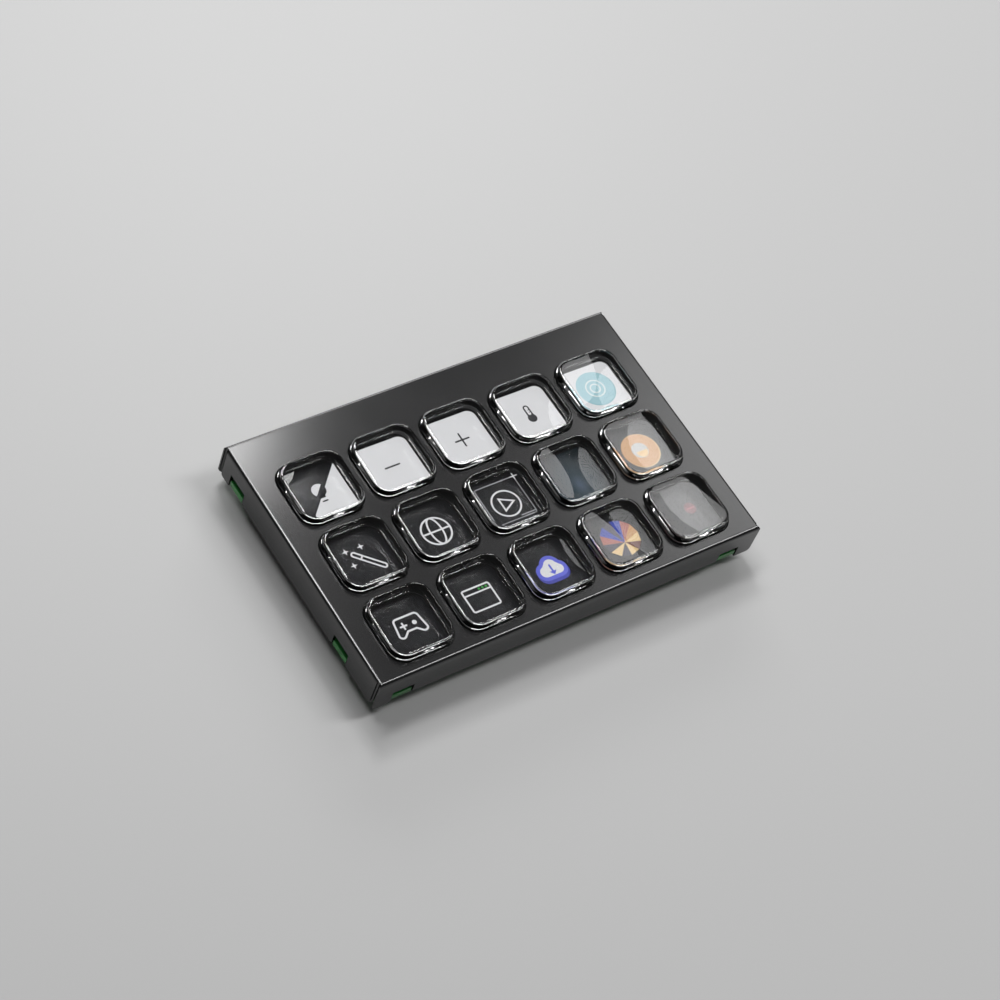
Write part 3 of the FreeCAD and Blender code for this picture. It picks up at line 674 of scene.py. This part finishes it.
def cap_profile():
    """The outline with its edges rounded and a close pair of points at each end of a rounding."""
    points = [CAP_OUTLINE[0][:3]]
    for before, corner, after in zip(CAP_OUTLINE, CAP_OUTLINE[1:], CAP_OUTLINE[2:]):
        knot = Vector(corner[:3])
        reach = corner[3]
        start = knot + (Vector(before[:3]) - knot).normalized() * reach
        end = knot + (Vector(after[:3]) - knot).normalized() * reach
        points.append(tuple(start + (start - knot) * ROUNDING_HOLD))
        for share in ROUNDING_SHARES:
            bend = (1 - share) ** 2 * start + 2 * share * (1 - share) * knot + share**2 * end
            points.append(tuple(bend))
        points.append(tuple(end + (end - knot) * ROUNDING_HOLD))
    return points + [CAP_OUTLINE[-1][:3]]


def cap_ring(half, core):
    """Points round a rounded square in mm, as many for every size."""
    corner = [(core + x, core + y) for x, y in arc((0, 0), half - core, 0, 90, CAP_CORNER_STEPS)]
    run = [(core - 2 * core * step / CAP_RUN_STEPS, half) for step in range(1, CAP_RUN_STEPS)]
    points = []
    for quarter in range(4):
        turn = math.radians(90 * quarter)
        along, across = math.cos(turn), math.sin(turn)
        points += [(x * along - y * across, x * across + y * along) for x, y in corner + run]
    return points


def ball_sag(ball_radius, x, y):
    return ball_radius - math.sqrt(ball_radius**2 - x * x - y * y)


def faced(half, core, share, height):
    """A ring scaled about the middle and laid on a curved face by its height at each point."""
    return [(x * share, y * share, height(x * share, y * share)) for x, y in cap_ring(half, core)]


def cap_rings():
    """The rings of the keycap's surface, from the hollow's middle round to the dish's middle."""
    hollow_reach = HOLLOW_CORE * math.sqrt(2) + HOLLOW_HALF - HOLLOW_CORE
    dish_reach = DISH_CORE * math.sqrt(2) + DISH_HALF - DISH_CORE
    hollow_top = HOLLOW_DEPTH + ball_sag(HOLLOW_RADIUS, hollow_reach, 0)
    dish_low = CAP_HEIGHT - DISH_EDGE_DEPTH - ball_sag(DISH_RADIUS, dish_reach, 0)

    def hollow(x, y):
        return hollow_top - ball_sag(HOLLOW_RADIUS, x, y)

    def dish(x, y):
        return dish_low + ball_sag(DISH_RADIUS, x, y)

    inwards = (1.0, *FACE_SHARES)
    under = [faced(HOLLOW_HALF, HOLLOW_CORE, share, hollow) for share in reversed(inwards)]
    side = [[(x, y, level) for x, y in cap_ring(half, core)] for half, level, core in cap_profile()]
    top = [faced(DISH_HALF, DISH_CORE, share, dish) for share in inwards]
    return [[(0, 0, hollow_top)], *under, *side, *top, [(0, 0, dish_low)]]


def fill_keycap(shape, x_centre, y_centre, z_low):
    """Builds the closed keycap: hollow under the plug, skirt, flange, wall, rim and dished top."""

    def vertex(x, y, z):
        return shape.verts.new((x_centre + x * MM, y_centre + y * MM, z_low + z * MM))

    made = [[vertex(*point) for point in ring] for ring in cap_rings()]
    (hollow_middle,), *rings, (dish_middle,) = made
    count = len(rings[0])
    for place, (lower, upper) in enumerate(zip(rings, rings[1:])):
        for number in range(count):
            after = (number + 1) % count
            face = shape.faces.new((lower[number], lower[after], upper[after], upper[number]))
            face.material_index = int(place in BLACK_RINGS)
    for ring, middle in ((rings[0], hollow_middle), (rings[-1], dish_middle)):
        for number in range(count):
            shape.faces.new((ring[number], ring[(number + 1) % count], middle))


class KEYMODULE_OT_springs(bpy.types.Operator):
    """Make the silicone springs under the keycaps"""

    bl_idname = "keymodule.springs"
    bl_label = "Springs"

    def execute(self, context):
        look = context.scene.keymodule_springs
        soft_black = {"Base_Color": (0.012, 0.012, 0.013), "Specular_IOR_Level": 0.4}
        silicone = speckled("black_silicone", 0.55, 0.2, 900, **soft_black)
        low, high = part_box("spring_" + KEYS[0])
        height = high.z - low.z
        wall = look.wall
        ring = Pattern("spring_ring")
        span = high.x - low.x - wall
        width = ring.size("Middle width", span)
        radius = ring.size("Corner radius", look.corner - wall / 2)
        path = ring.rounded_loop(width, width, radius, 8)
        section = (("Wall", wall), ("Height", height), ("Edge", wall / 4))
        profile = ring.rounded_loop(*[ring.size(*item) for item in section], 4)
        swept = ring.node("GeometryNodeCurveToMesh", inputs={0: path, 1: profile})
        mesh = ring.grown(swept, silicone, 50)
        for key in KEYS:
            low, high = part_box("spring_" + key)
            moved = shifted(mesh, (low + high) / 2)
            piece = add_piece("soft_spring_" + key, moved, "root", ["spring_" + key])
            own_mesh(piece)
        return {"FINISHED"}


class KEYMODULE_OT_inside(bpy.types.Operator):
    """Finish the guide, film, foam and the display's own pieces"""

    bl_idname = "keymodule.inside"
    bl_label = "Inner pieces"

    def execute(self, context):
        moulded = speckled("black_moulding", 0.5, 0.2, 1500, Base_Color=(0.012, 0.012, 0.013))
        film = speckled("printed_film", 0.3, 0.2, 300, Base_Color=(0.008, 0.008, 0.009))
        polished = {"Base_Color": (0.006, 0.006, 0.007), "Coat_Roughness": 0.02}
        glass = speckled("display_glass", 0.08, 0.05, 120, **polished)
        guide = Finish("milky_guide", Base_Color=(0.8, 0.82, 0.84), Roughness=0.3)
        steel = Finish("tray_steel", Metallic=1.0, Base_Color=(0.6, 0.6, 0.61))
        steel.set("Roughness", 0.3 + 0.1 * steel.noise(500, 2.0, stretch=(1, 20, 1)))
        amber = Finish("amber_tail", Coat_Weight=0.6)
        across = amber.axes()[0]
        track = amber.work("FRACT", across / TAIL_PITCH) > 0.45
        clear_part = amber.mix(amber.noise(800), (0.32, 0.12, 0.015), (0.42, 0.17, 0.03))
        amber.set("Base Color", amber.mix(track, clear_part, (0.2, 0.055, 0.01)))
        amber.set("Roughness", 0.28 + 0.08 * amber.noise(600) + 0.08 * track)
        make_foam(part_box("foam_frame"), context.scene.keymodule_springs.foam_width)
        for node, finish in {
            "key_guide": moulded,
            "contact_film": film,
            "lcd_glass": glass,
            "lcd_light_guide": guide,
            "lcd_tray": steel,
            "lcd_tail": amber,
        }.items():
            dress(node, finish)
        return {"FINISHED"}


def make_foam(box, strip):
    """The foam frame as one strip with soft edges round the display's back."""
    foam = speckled("open_cell_foam", 0.85, 0.1, 2500, Base_Color=(0.012, 0.012, 0.013))
    foam.bump(foam.noise(5000, 3.0), 0.0002)
    low, high = box
    frame_strip = Pattern("foam_strip")
    width = frame_strip.size("Width", high.x - low.x - strip)
    length = frame_strip.size("Length", high.y - low.y - strip)
    path = frame_strip.rounded_loop(width, length, frame_strip.size("Turn", strip / 2 + 0.0005), 6)
    thickness = high.z - low.z
    section = (("Strip", strip), ("Thickness", thickness), ("Edge", thickness / 4))
    profile = frame_strip.rounded_loop(*[frame_strip.size(*item) for item in section], 4)
    swept = frame_strip.node("GeometryNodeCurveToMesh", inputs={0: path, 1: profile})
    mesh = frame_strip.grown(swept, foam, 50)
    moved = shifted(mesh, (low + high) / 2)
    piece = add_piece("foam_strip", moved, stands_for=["foam_frame"])


# Colours of the pictures besides white
COLOURS = {
    "dark": (0.004, 0.004, 0.005),
    "grey": (0.035, 0.035, 0.038),
    "milk": (0.6, 0.59, 0.58),
    "cyan": (0.45, 0.74, 0.82),
    "pale_cyan": (0.9, 1.0, 1.0),
    "orange": (0.7, 0.36, 0.13),
    "green": (0.05, 0.4, 0.06),
    "violet": (0.16, 0.18, 0.85),
    "indigo": (0.07, 0.08, 0.5),
    "deep_cyan": (0.3, 0.6, 0.68),
    "amber": (0.95, 0.66, 0.32),
    "silver": (0.5, 0.5, 0.53),
    "blue": (0.03, 0.06, 0.45),
    "dusk": (0.06, 0.05, 0.08),
    "coral": (0.5, 0.16, 0.12),
    "rust": (0.16, 0.03, 0.015),
    "cream": (0.95, 0.68, 0.32),
    "rose": (0.16, 0.02, 0.03),
    "pink": (0.5, 0.1, 0.12),
}


class KEYMODULE_OT_pictures(bpy.types.Operator):
    """Draw the picture of each key on the display"""

    bl_idname = "keymodule.pictures"
    bl_label = "Pictures"

    def execute(self, context):
        look = context.scene.keymodule_display
        inks = {}
        for tone, colour in {"white": look.white, **COLOURS}.items():
            inks[tone] = lit("lit_" + tone, colour, look.brightness)
        inks["glow"] = glowing("lit_glow", look.brightness)
        for key, draw in PICTURES.items():
            picture = Picture(key, inks)
            draw(picture)
            picture.done()
        return {"FINISHED"}


def draw_bulb(picture):
    picture.tile("dark")
    half = TILE_PIXELS / 2
    core = half - TILE_ROUND_PIXELS
    cut = TILE_ROUND_PIXELS * 0.3
    corner = arc((core, -core), TILE_ROUND_PIXELS, 270, 360, 6)
    picture.area([(-half + cut, -half)] + corner + [(half, half - cut)], "white")
    picture.next_layer()
    for start, tone in ((45, "white"), (225, "dark")):
        picture.area(arc((0, 4.5), 9.3, start, start + 180, 20), tone)
    picture.area([(-3.2, -7), (3.2, -7), (4.2, -2), (-4.2, -2)], "dark")
    picture.line([(-3, -11.5), (3, -11.5)], 2, "dark")


def draw_minus(picture):
    picture.tile("white")
    picture.line([(-10, 0), (10, 0)], 2.3, "grey")


def draw_plus(picture):
    picture.tile("white")
    picture.line([(-9.5, 0), (9.5, 0)], 2.3, "grey")
    picture.next_layer().line([(0, -9.5), (0, 9.5)], 2.3, "grey")


def draw_thermometer(picture):
    picture.tile("white")
    picture.disc((0, -6), 6.2, "grey")
    picture.next_layer().line([(0, -6), (0, 10)], 8.4, "grey")
    picture.next_layer().line([(0, 1), (0, 10)], 4.2, "white")
    for y in (3, 6.5):
        picture.next_layer().line([(0.6, y), (2.2, y)], 1.1, "grey")


def draw_target(picture):
    picture.tile("white")
    picture.disc((0.7, 0.7), 26, "deep_cyan")
    picture.next_layer().disc((0, 1.5), 25.4, "cyan")
    picture.next_layer()
    for radius in (12.5, 6.5):
        picture.ring((0, 1.5), radius, 1.9, "pale_cyan")


def draw_wand(picture):
    picture.tile("dark")
    start, end = (-8.5, 10.5), (18.5, -16.5)
    side = 2.9 * math.sqrt(0.5)
    loop = arc(start, 2.9, 45, 225, 8) + arc(end, 2.9, 225, 405, 8)
    picture.loop(loop, 2.1, "white")
    middle = (start[0] + 7, start[1] - 7)
    picture.next_layer()
    ends = [(middle[0] - side, middle[1] - side), (middle[0] + side, middle[1] + side)]
    picture.line(ends, 2.1, "white")
    for x, y in ((-16, 17.5), (5, 17.5), (-16, -3)):
        picture.area(star((x, y), 4.6, 1.5), "white")


def star(centre, tip, waist):
    points = []
    for turn in range(8):
        reach = waist if turn % 2 else tip
        angle = math.radians(45 * turn)
        points.append((centre[0] + reach * math.cos(angle), centre[1] + reach * math.sin(angle)))
    return points


def draw_globe(picture):
    picture.tile("dark")
    picture.ring((0, 0), 19, 2.3, "white")
    picture.next_layer().ring((0, 0), 19, 2.3, "white", squeeze=0.42)
    picture.next_layer().line([(-19, 0), (19, 0)], 2.3, "white")


def draw_play(picture):
    picture.tile("dark")
    picture.loop(rounded_square((1, 3), 58, 56, 3), 0.9, "silver")
    picture.next_layer().line([(25, 31), (35, 31)], 1.2, "white")
    picture.next_layer().line([(30, 26.5), (30, 35)], 1.2, "white")
    picture.ring((0, 0), 18.5, 2.2, "white")
    picture.loop([(-6, -9), (11, 0), (-6, 9)], 2.2, "white")
    picture.line([(9, -22), (29, -22)], 1.4, "silver")
    picture.line([(13, -25), (25, -25)], 1.4, "silver")


def draw_glow(picture):
    picture.tile("glow")


def draw_sun(picture):
    picture.tile("dark")
    picture.disc((0.8, -0.6), 25.4, "amber")
    picture.next_layer().disc((0, 0), 25, "orange")
    picture.next_layer().disc((0, 0.5), 11.4, "milk")
    picture.next_layer()
    crescent = arc((1.5, -2.2), 8, 170, 370, 18) + arc((1.5, 0.2), 8.2, 5, -185, 14)[1:-1]
    picture.area(crescent, "amber")


def draw_gamepad(picture):
    picture.tile("dark")
    outline = arc((-10, 10.5), 4.5, 95, 170, 5) + arc((-13, -6.5), 4.5, 190, 320, 7)
    outline += [(-4, -4.5), (8, -4.5)]
    outline += arc((17, -6.5), 4.5, 220, 350, 7) + arc((14, 10.5), 4.5, 10, 85, 5)
    picture.loop(outline, 2.4, "white")
    picture.line([(-9.5, 3.5), (-1.5, 3.5)], 2.4, "white")
    picture.next_layer().line([(-5.5, -0.5), (-5.5, 7.5)], 2.4, "white")
    picture.disc((9.5, 3.5), 2.9, "white")


def draw_window(picture):
    picture.tile("dark")
    picture.loop(rounded_square((0, 0), 38, 31, 2.5), 2.2, "white")
    picture.next_layer().line([(-19, 8), (19, 8)], 2.0, "white")
    for x in (4, 9, 14):
        picture.disc((x, 11.6), 1.6, "green", 12)


def puffs(grow):
    """The outline of a round-topped cloud, made wider by grow."""
    points = arc((9, -3), 7 + grow, -90, 60, 8)
    points += arc((1, 4.5), 9 + grow, 15, 150, 9)
    points += arc((-9, -2), 8 + grow, 100, 270, 9)
    return points


def draw_cloud(picture):
    picture.tile("dark")
    picture.area([(x, y - 4) for x, y in puffs(5)], "indigo")
    picture.next_layer().area(puffs(4.6), "violet")
    picture.next_layer().area(puffs(-0.6), "white")
    picture.next_layer().line([(0, 5), (0, -5)], 2.6, "violet")
    picture.next_layer().area([(-5, -3.5), (5, -3.5), (0, -9)], "violet")


def draw_facets(picture):
    """A disc of triangles about a point, in four colours by turns."""
    picture.tile("dark")
    tones = "orange coral blue dusk blue coral dusk cream dusk cream rust cream".split()
    rim = arc((3, 2), 26, 0, 360, len(tones))
    hub = (5, -5)
    for number, tone in enumerate(tones):
        picture.area([hub, rim[number], rim[number + 1]], tone)


def draw_spot(picture):
    picture.tile("dark")
    picture.disc((10, 4), 8, "rose")
    picture.next_layer().line([(5, 4), (15, 4)], 1.6, "pink")


# The pictures as they lie on the keys, row by row
ROWS_OF_PICTURES = (
    (draw_bulb, draw_minus, draw_plus, draw_thermometer, draw_target),
    (draw_wand, draw_globe, draw_play, draw_glow, draw_sun),
    (draw_gamepad, draw_window, draw_cloud, draw_facets, draw_spot),
)
PICTURES = dict(zip(KEYS, sum(ROWS_OF_PICTURES, ())))


class KEYMODULE_OT_board(bpy.types.Operator):
    """Finish the circuit board and what is soldered to it"""

    bl_idname = "keymodule.board"
    bl_label = "Circuit board"

    def execute(self, context):
        look = context.scene.keymodule_board
        dress("main_board", make_mask(tuple(look.mask)))
        steel = speckled("plated_steel", 0.25, 0.1, 700, Base_Color=(0.62, 0.62, 0.63), Metallic=1)
        tin = speckled("tin", 0.25, 0.15, 3000, Base_Color=(0.7, 0.7, 0.71), Metallic=1)
        chip = speckled("chip_moulding", 0.55, 0.2, 4000, Base_Color=(0.014, 0.014, 0.014))
        cream = speckled("cream_moulding", 0.45, 0.1, 1000, Base_Color=(0.62, 0.56, 0.44))
        black = speckled("black_latch", 0.4, 0.1, 1000, Base_Color=(0.02, 0.02, 0.021))
        ceramic = Finish("tan_ceramic")
        tan = ceramic.mix(ceramic.noise(900), (0.3, 0.2, 0.11), (0.38, 0.26, 0.15))
        ceramic.set("Base Color", tan)
        ferrite = speckled("ferrite", 0.5, 0.2, 2000, Base_Color=(0.05, 0.05, 0.052))
        gold = speckled("flat_gold", 0.3, 0.1, 2000, Base_Color=(0.85, 0.6, 0.25), Metallic=1)
        make_contacts(tin, gold)
        make_vias(tin, look.via_spacing, look.via_radius)
        make_threads(steel)
        make_outlines()
        for node, finish in {
            "usb_shell": steel,
            "usb_insert": black,
            "display_socket": cream,
            "film_socket": cream,
            "display_latch": black,
            "film_latch": black,
            **{chip: moulded_chip(chip) for chip in CHIPS},
            "chip_leads": tin,
            "solder_ends": tin,
            "crystal": steel,
            "inductor": ferrite,
            "capacitors": ceramic,
            "resistors": chip,
            "test_pads": gold,
            **{"standoff_" + corner: steel for corner in STANDOFFS},
        }.items():
            dress(node, finish)
        return {"FINISHED"}


def make_mask(colour):
    """Glossy mask over copper: blocks of straight tracks, across or along, on darker ground."""
    mask = Finish("solder_mask", Coat_Weight=0.3)
    x, y, _ = mask.axes()
    corner = [mask.work("FLOOR", axis / size) for axis, size in zip((x, y), TRACK_BLOCK)]
    cell = mask.node("ShaderNodeCombineXYZ", inputs=corner)
    chance = mask.node("ShaderNodeTexWhiteNoise", inputs=(cell,))
    turned = chance > 0.5
    along = x * turned + y * (1.0 - turned)
    bent = along + TRACK_WANDER * mask.noise(90, 1.0)
    rail = mask.work("PINGPONG", mask.work("FRACT", bent / TRACK_PITCH), 0.5)
    track = mask.span(rail, 0.3, 0.34) * (mask.noise(110, 1.0) > 0.44)
    ground = mask.mix(mask.noise(60), shade(colour, 0.62), shade(colour, 0.78))
    lighter = tuple(min(channel * 1.08 + 0.004, 1) for channel in colour)
    mask.set("Base Color", mask.mix(track, ground, lighter))
    mask.set("Roughness", 0.3 + 0.12 * mask.noise(700))
    mask.bump(track, 0.00003, 0.5)
    return mask


def moulded_chip(node):
    """Matt moulding with a pressed round mark at the first lead."""
    low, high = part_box(node)
    finish = Finish(node + "_moulding")
    x, y, _ = finish.axes()
    across, along = x - (low.x + MARK_INSET), y - (high.y - MARK_INSET)
    mark = (across * across + along * along) ** 0.5 < MARK_RADIUS
    finish.set("Base Color", finish.mix(mark, (0.014, 0.014, 0.014), (0.03, 0.03, 0.03)))
    finish.set("Roughness", 0.5 + 0.2 * finish.noise(4000) - 0.25 * mark)
    finish.bump(mark, 0.0001, 0.6)
    return finish


def add_row(name, size, count, pitch, place, finish):
    """A piece of equal small bars in a row along X, its middle at a place."""
    row = Pattern(name)
    bar_size = row.vector(*[row.size(f"Bar {axis}", length) for axis, length in zip("XYZ", size)])
    bar = row.node("GeometryNodeMeshCube", inputs={0: bar_size})
    number = row.size("Count", count)
    step = row.size("Pitch", pitch)
    start = row.vector(x=-pitch * (count - 1) / 2)
    mesh = row.grown(row.row_of(bar, number, row.vector(x=step), start), finish)
    add_piece(name, shifted(mesh, place))


def make_contacts(tin, gold):
    """Solder feet of the two flat sockets and the gold strips of the cable socket's tongue."""
    for name, count in SOCKET_CONTACTS.items():
        low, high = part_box(name + "_socket")
        level = high.z - SOCKET_FOOT[2] / 2
        place = Vector(((low.x + high.x) / 2, low.y - SOCKET_FOOT_REACH, level))
        add_row(name + "_socket_feet", SOCKET_FOOT, count, TAIL_PITCH, place, tin)
        place.y = (low.y + high.y) / 2
        span = high.x - low.x + SOCKET_END_REACH
        add_row(name + "_socket_ends", SOCKET_END, 2, span, place, tin)
    low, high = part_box("usb_insert")
    middle = (low + high) / 2
    for side, sign in (("upper", 1), ("lower", -1)):
        level = middle.z + sign * TONGUE_STRIP_LEVEL
        place = Vector((middle.x, high.y - TONGUE_STRIP_SETBACK, level))
        name = "tongue_strips_" + side
        add_row(name, TONGUE_STRIP, TONGUE_CONTACTS, PLUG_PITCH, place, gold)


def make_vias(tin, spacing, radius):
    """Plated holes in a line along the board's edge, each a flat ring."""
    low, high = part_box("main_board")
    middle = (low + high) / 2
    vias = Pattern("edge_vias")
    width = vias.size("Width", high.x - low.x - 2 * VIA_RING_INSET.x)
    length = vias.size("Length", high.y - low.y - 2 * VIA_RING_INSET.y)
    path = vias.rounded_loop(width, length, vias.size("Turn", VIA_RING_TURN), 4)
    wanted = {"Curve": path, "Length": vias.size("Spacing", spacing)}
    points = vias.node("GeometryNodeResampleCurve", {"mode": "LENGTH"}, wanted)
    wanted = {"Resolution": 10, "Radius": vias.size("Radius", radius)}
    loop = vias.node("GeometryNodeCurvePrimitiveCircle", inputs=wanted)
    flat = vias.rounded_loop(radius * 0.9, VIA_PLATING, VIA_PLATING / 6, 1)
    ring = vias.node("GeometryNodeCurveToMesh", inputs={0: loop, 1: flat})
    rings = vias.node("GeometryNodeInstanceOnPoints", inputs={"Points": points, "Instance": ring})
    mesh = vias.grown(rings, tin)
    add_piece("edge_vias", shifted(mesh, Vector((middle.x, middle.y, low.z))))


def make_threads(steel):
    """A screw thread in the bore of every standoff."""
    thread = Pattern("bore_thread")
    turns = thread.size("Turns", float(THREAD_TURNS))
    radius = thread.size("Radius", THREAD_RADIUS)
    height = thread.size("Height", THREAD_TURNS * THREAD_PITCH)
    wanted = {0: 20, 1: turns, 2: radius, 3: radius, 4: height}
    coil = thread.node("GeometryNodeCurveSpiral", inputs=wanted)
    wanted = {"Resolution": 4, "Radius": thread.size("Tooth", THREAD_TOOTH)}
    tooth = thread.node("GeometryNodeCurvePrimitiveCircle", inputs=wanted)
    shape = thread.node("GeometryNodeCurveToMesh", inputs={0: coil, 1: tooth, "Fill Caps": True})
    mesh = thread.grown(shape, steel, 30)
    for corner in STANDOFFS:
        low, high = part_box("standoff_" + corner)
        place = Vector(((low.x + high.x) / 2, (low.y + high.y) / 2, low.z + THREAD_START))
        add_piece("thread_" + corner, shifted(mesh, place))


def make_outlines():
    """White printed outlines round the parts on the board's underside."""
    ink = speckled("board_print", 0.5, 0.2, 3000, Base_Color=(0.75, 0.76, 0.75))
    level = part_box("main_board")[0].z
    shape = bmesh.new()
    for node, room in PRINT_ROOM.items():
        low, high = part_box(node)
        size = high - low
        centre = ((low.x + high.x) / 2, (low.y + high.y) / 2)
        loop = rounded_square(centre, size.x + 2 * room, size.y + 2 * room, PRINT_TURN, 2)
        closed_stroke(shape, loop, PRINT_WIDTH, level - PRINT_SUNK, level + PRINT_RAISED, 0)
    add_piece("board_print", mesh_of("board_print", shape, [ink]))


class KEYMODULE_OT_stage(bpy.types.Operator):
    """Set the floor, the lamps and the camera"""

    bl_idname = "keymodule.stage"
    bl_label = "Stage"

    def execute(self, context):
        look = context.scene.keymodule_stage
        make_floor(tuple(look.floor))
        make_room(look.sky)
        make_lamps()
        make_camera()
        context.scene.view_settings.view_transform = "Standard"
        return {"FINISHED"}


def make_floor(colour):
    paint = Finish("floor_paint", Roughness=0.6)
    paint.set("Base Color", paint.mix(paint.noise(2.0), shade(colour, 0.97), colour))
    shape = bmesh.new()
    signs = ((-1, -1), (1, -1), (1, 1), (-1, 1))
    shape.faces.new([shape.verts.new((x * FLOOR_HALF, y * FLOOR_HALF, 0)) for x, y in signs])
    mesh = bpy.data.meshes.new("floor")
    shape.to_mesh(mesh)
    shape.free()
    mesh.materials.append(paint.material)
    linked("floor", mesh)


def make_room(strength):
    world = bpy.data.worlds.new("room")
    world.use_nodes = True
    background = world.node_tree.nodes["Background"]
    background.inputs["Color"].default_value = (1, 1, 1, 1)
    background.inputs["Strength"].default_value = strength
    bpy.context.scene.world = world


def make_lamps():
    """Soft lamps, each at its place and facing its aim."""
    for name, place, aim, size, power, form in LAMPS:
        light = bpy.data.lights.new(name, "AREA")
        light.shape = form
        light.size, light.size_y = size
        light.energy = power
        made = linked(name, light)
        made.location = place
        made.rotation_euler = (Vector(aim) - Vector(place)).to_track_quat("-Z", "Y").to_euler()


def make_camera():
    right = CAMERA_RIGHT.normalized()
    back = right.cross(-CAMERA_DOWN).normalized()
    up = back.cross(right)
    turned = Matrix((right, up, back)).transposed()
    camera = bpy.data.cameras.new("camera")
    camera.lens = CAMERA_LENS
    camera.sensor_width = CAMERA_SENSOR
    made = linked("camera", camera)
    made.matrix_world = Matrix.Translation(CAMERA_PLACE) @ turned.to_4x4()
    bpy.context.scene.camera = made


class KEYMODULE_PT_panel(bpy.types.Panel):
    """Lists the steps that dress the key module"""

    bl_idname = "KEYMODULE_PT_panel"
    bl_label = "Key module"
    bl_space_type = "VIEW_3D"
    bl_region_type = "UI"
    bl_category = "Key module"

    def draw(self, context):
        for operator in OPERATORS:
            self.layout.operator(operator.bl_idname)
        for name, look in LOOKS.items():
            box = self.layout.box()
            for prop in look.__annotations__:
                box.prop(getattr(context.scene, name), prop)


LOOKS = {
    "keymodule_cover": CoverLook,
    "keymodule_caps": CapLook,
    "keymodule_springs": SpringLook,
    "keymodule_display": DisplayLook,
    "keymodule_board": BoardLook,
    "keymodule_stage": StageLook,
}
OPERATORS = (
    KEYMODULE_OT_cover,
    KEYMODULE_OT_keycaps,
    KEYMODULE_OT_springs,
    KEYMODULE_OT_inside,
    KEYMODULE_OT_pictures,
    KEYMODULE_OT_board,
    KEYMODULE_OT_stage,
)
CLASSES = (*LOOKS.values(), *OPERATORS, KEYMODULE_PT_panel)


def register():
    for item in CLASSES:
        bpy.utils.register_class(item)
    for name, look in LOOKS.items():
        setattr(bpy.types.Scene, name, bpy.props.PointerProperty(type=look))


def unregister():
    for name in LOOKS:
        delattr(bpy.types.Scene, name)
    for item in reversed(CLASSES):
        bpy.utils.unregister_class(item)


def main():
    register()
    for operator in OPERATORS:
        group, name = operator.bl_idname.split(".")
        getattr(getattr(bpy.ops, group), name)()


if __name__ == "__main__":
    main()
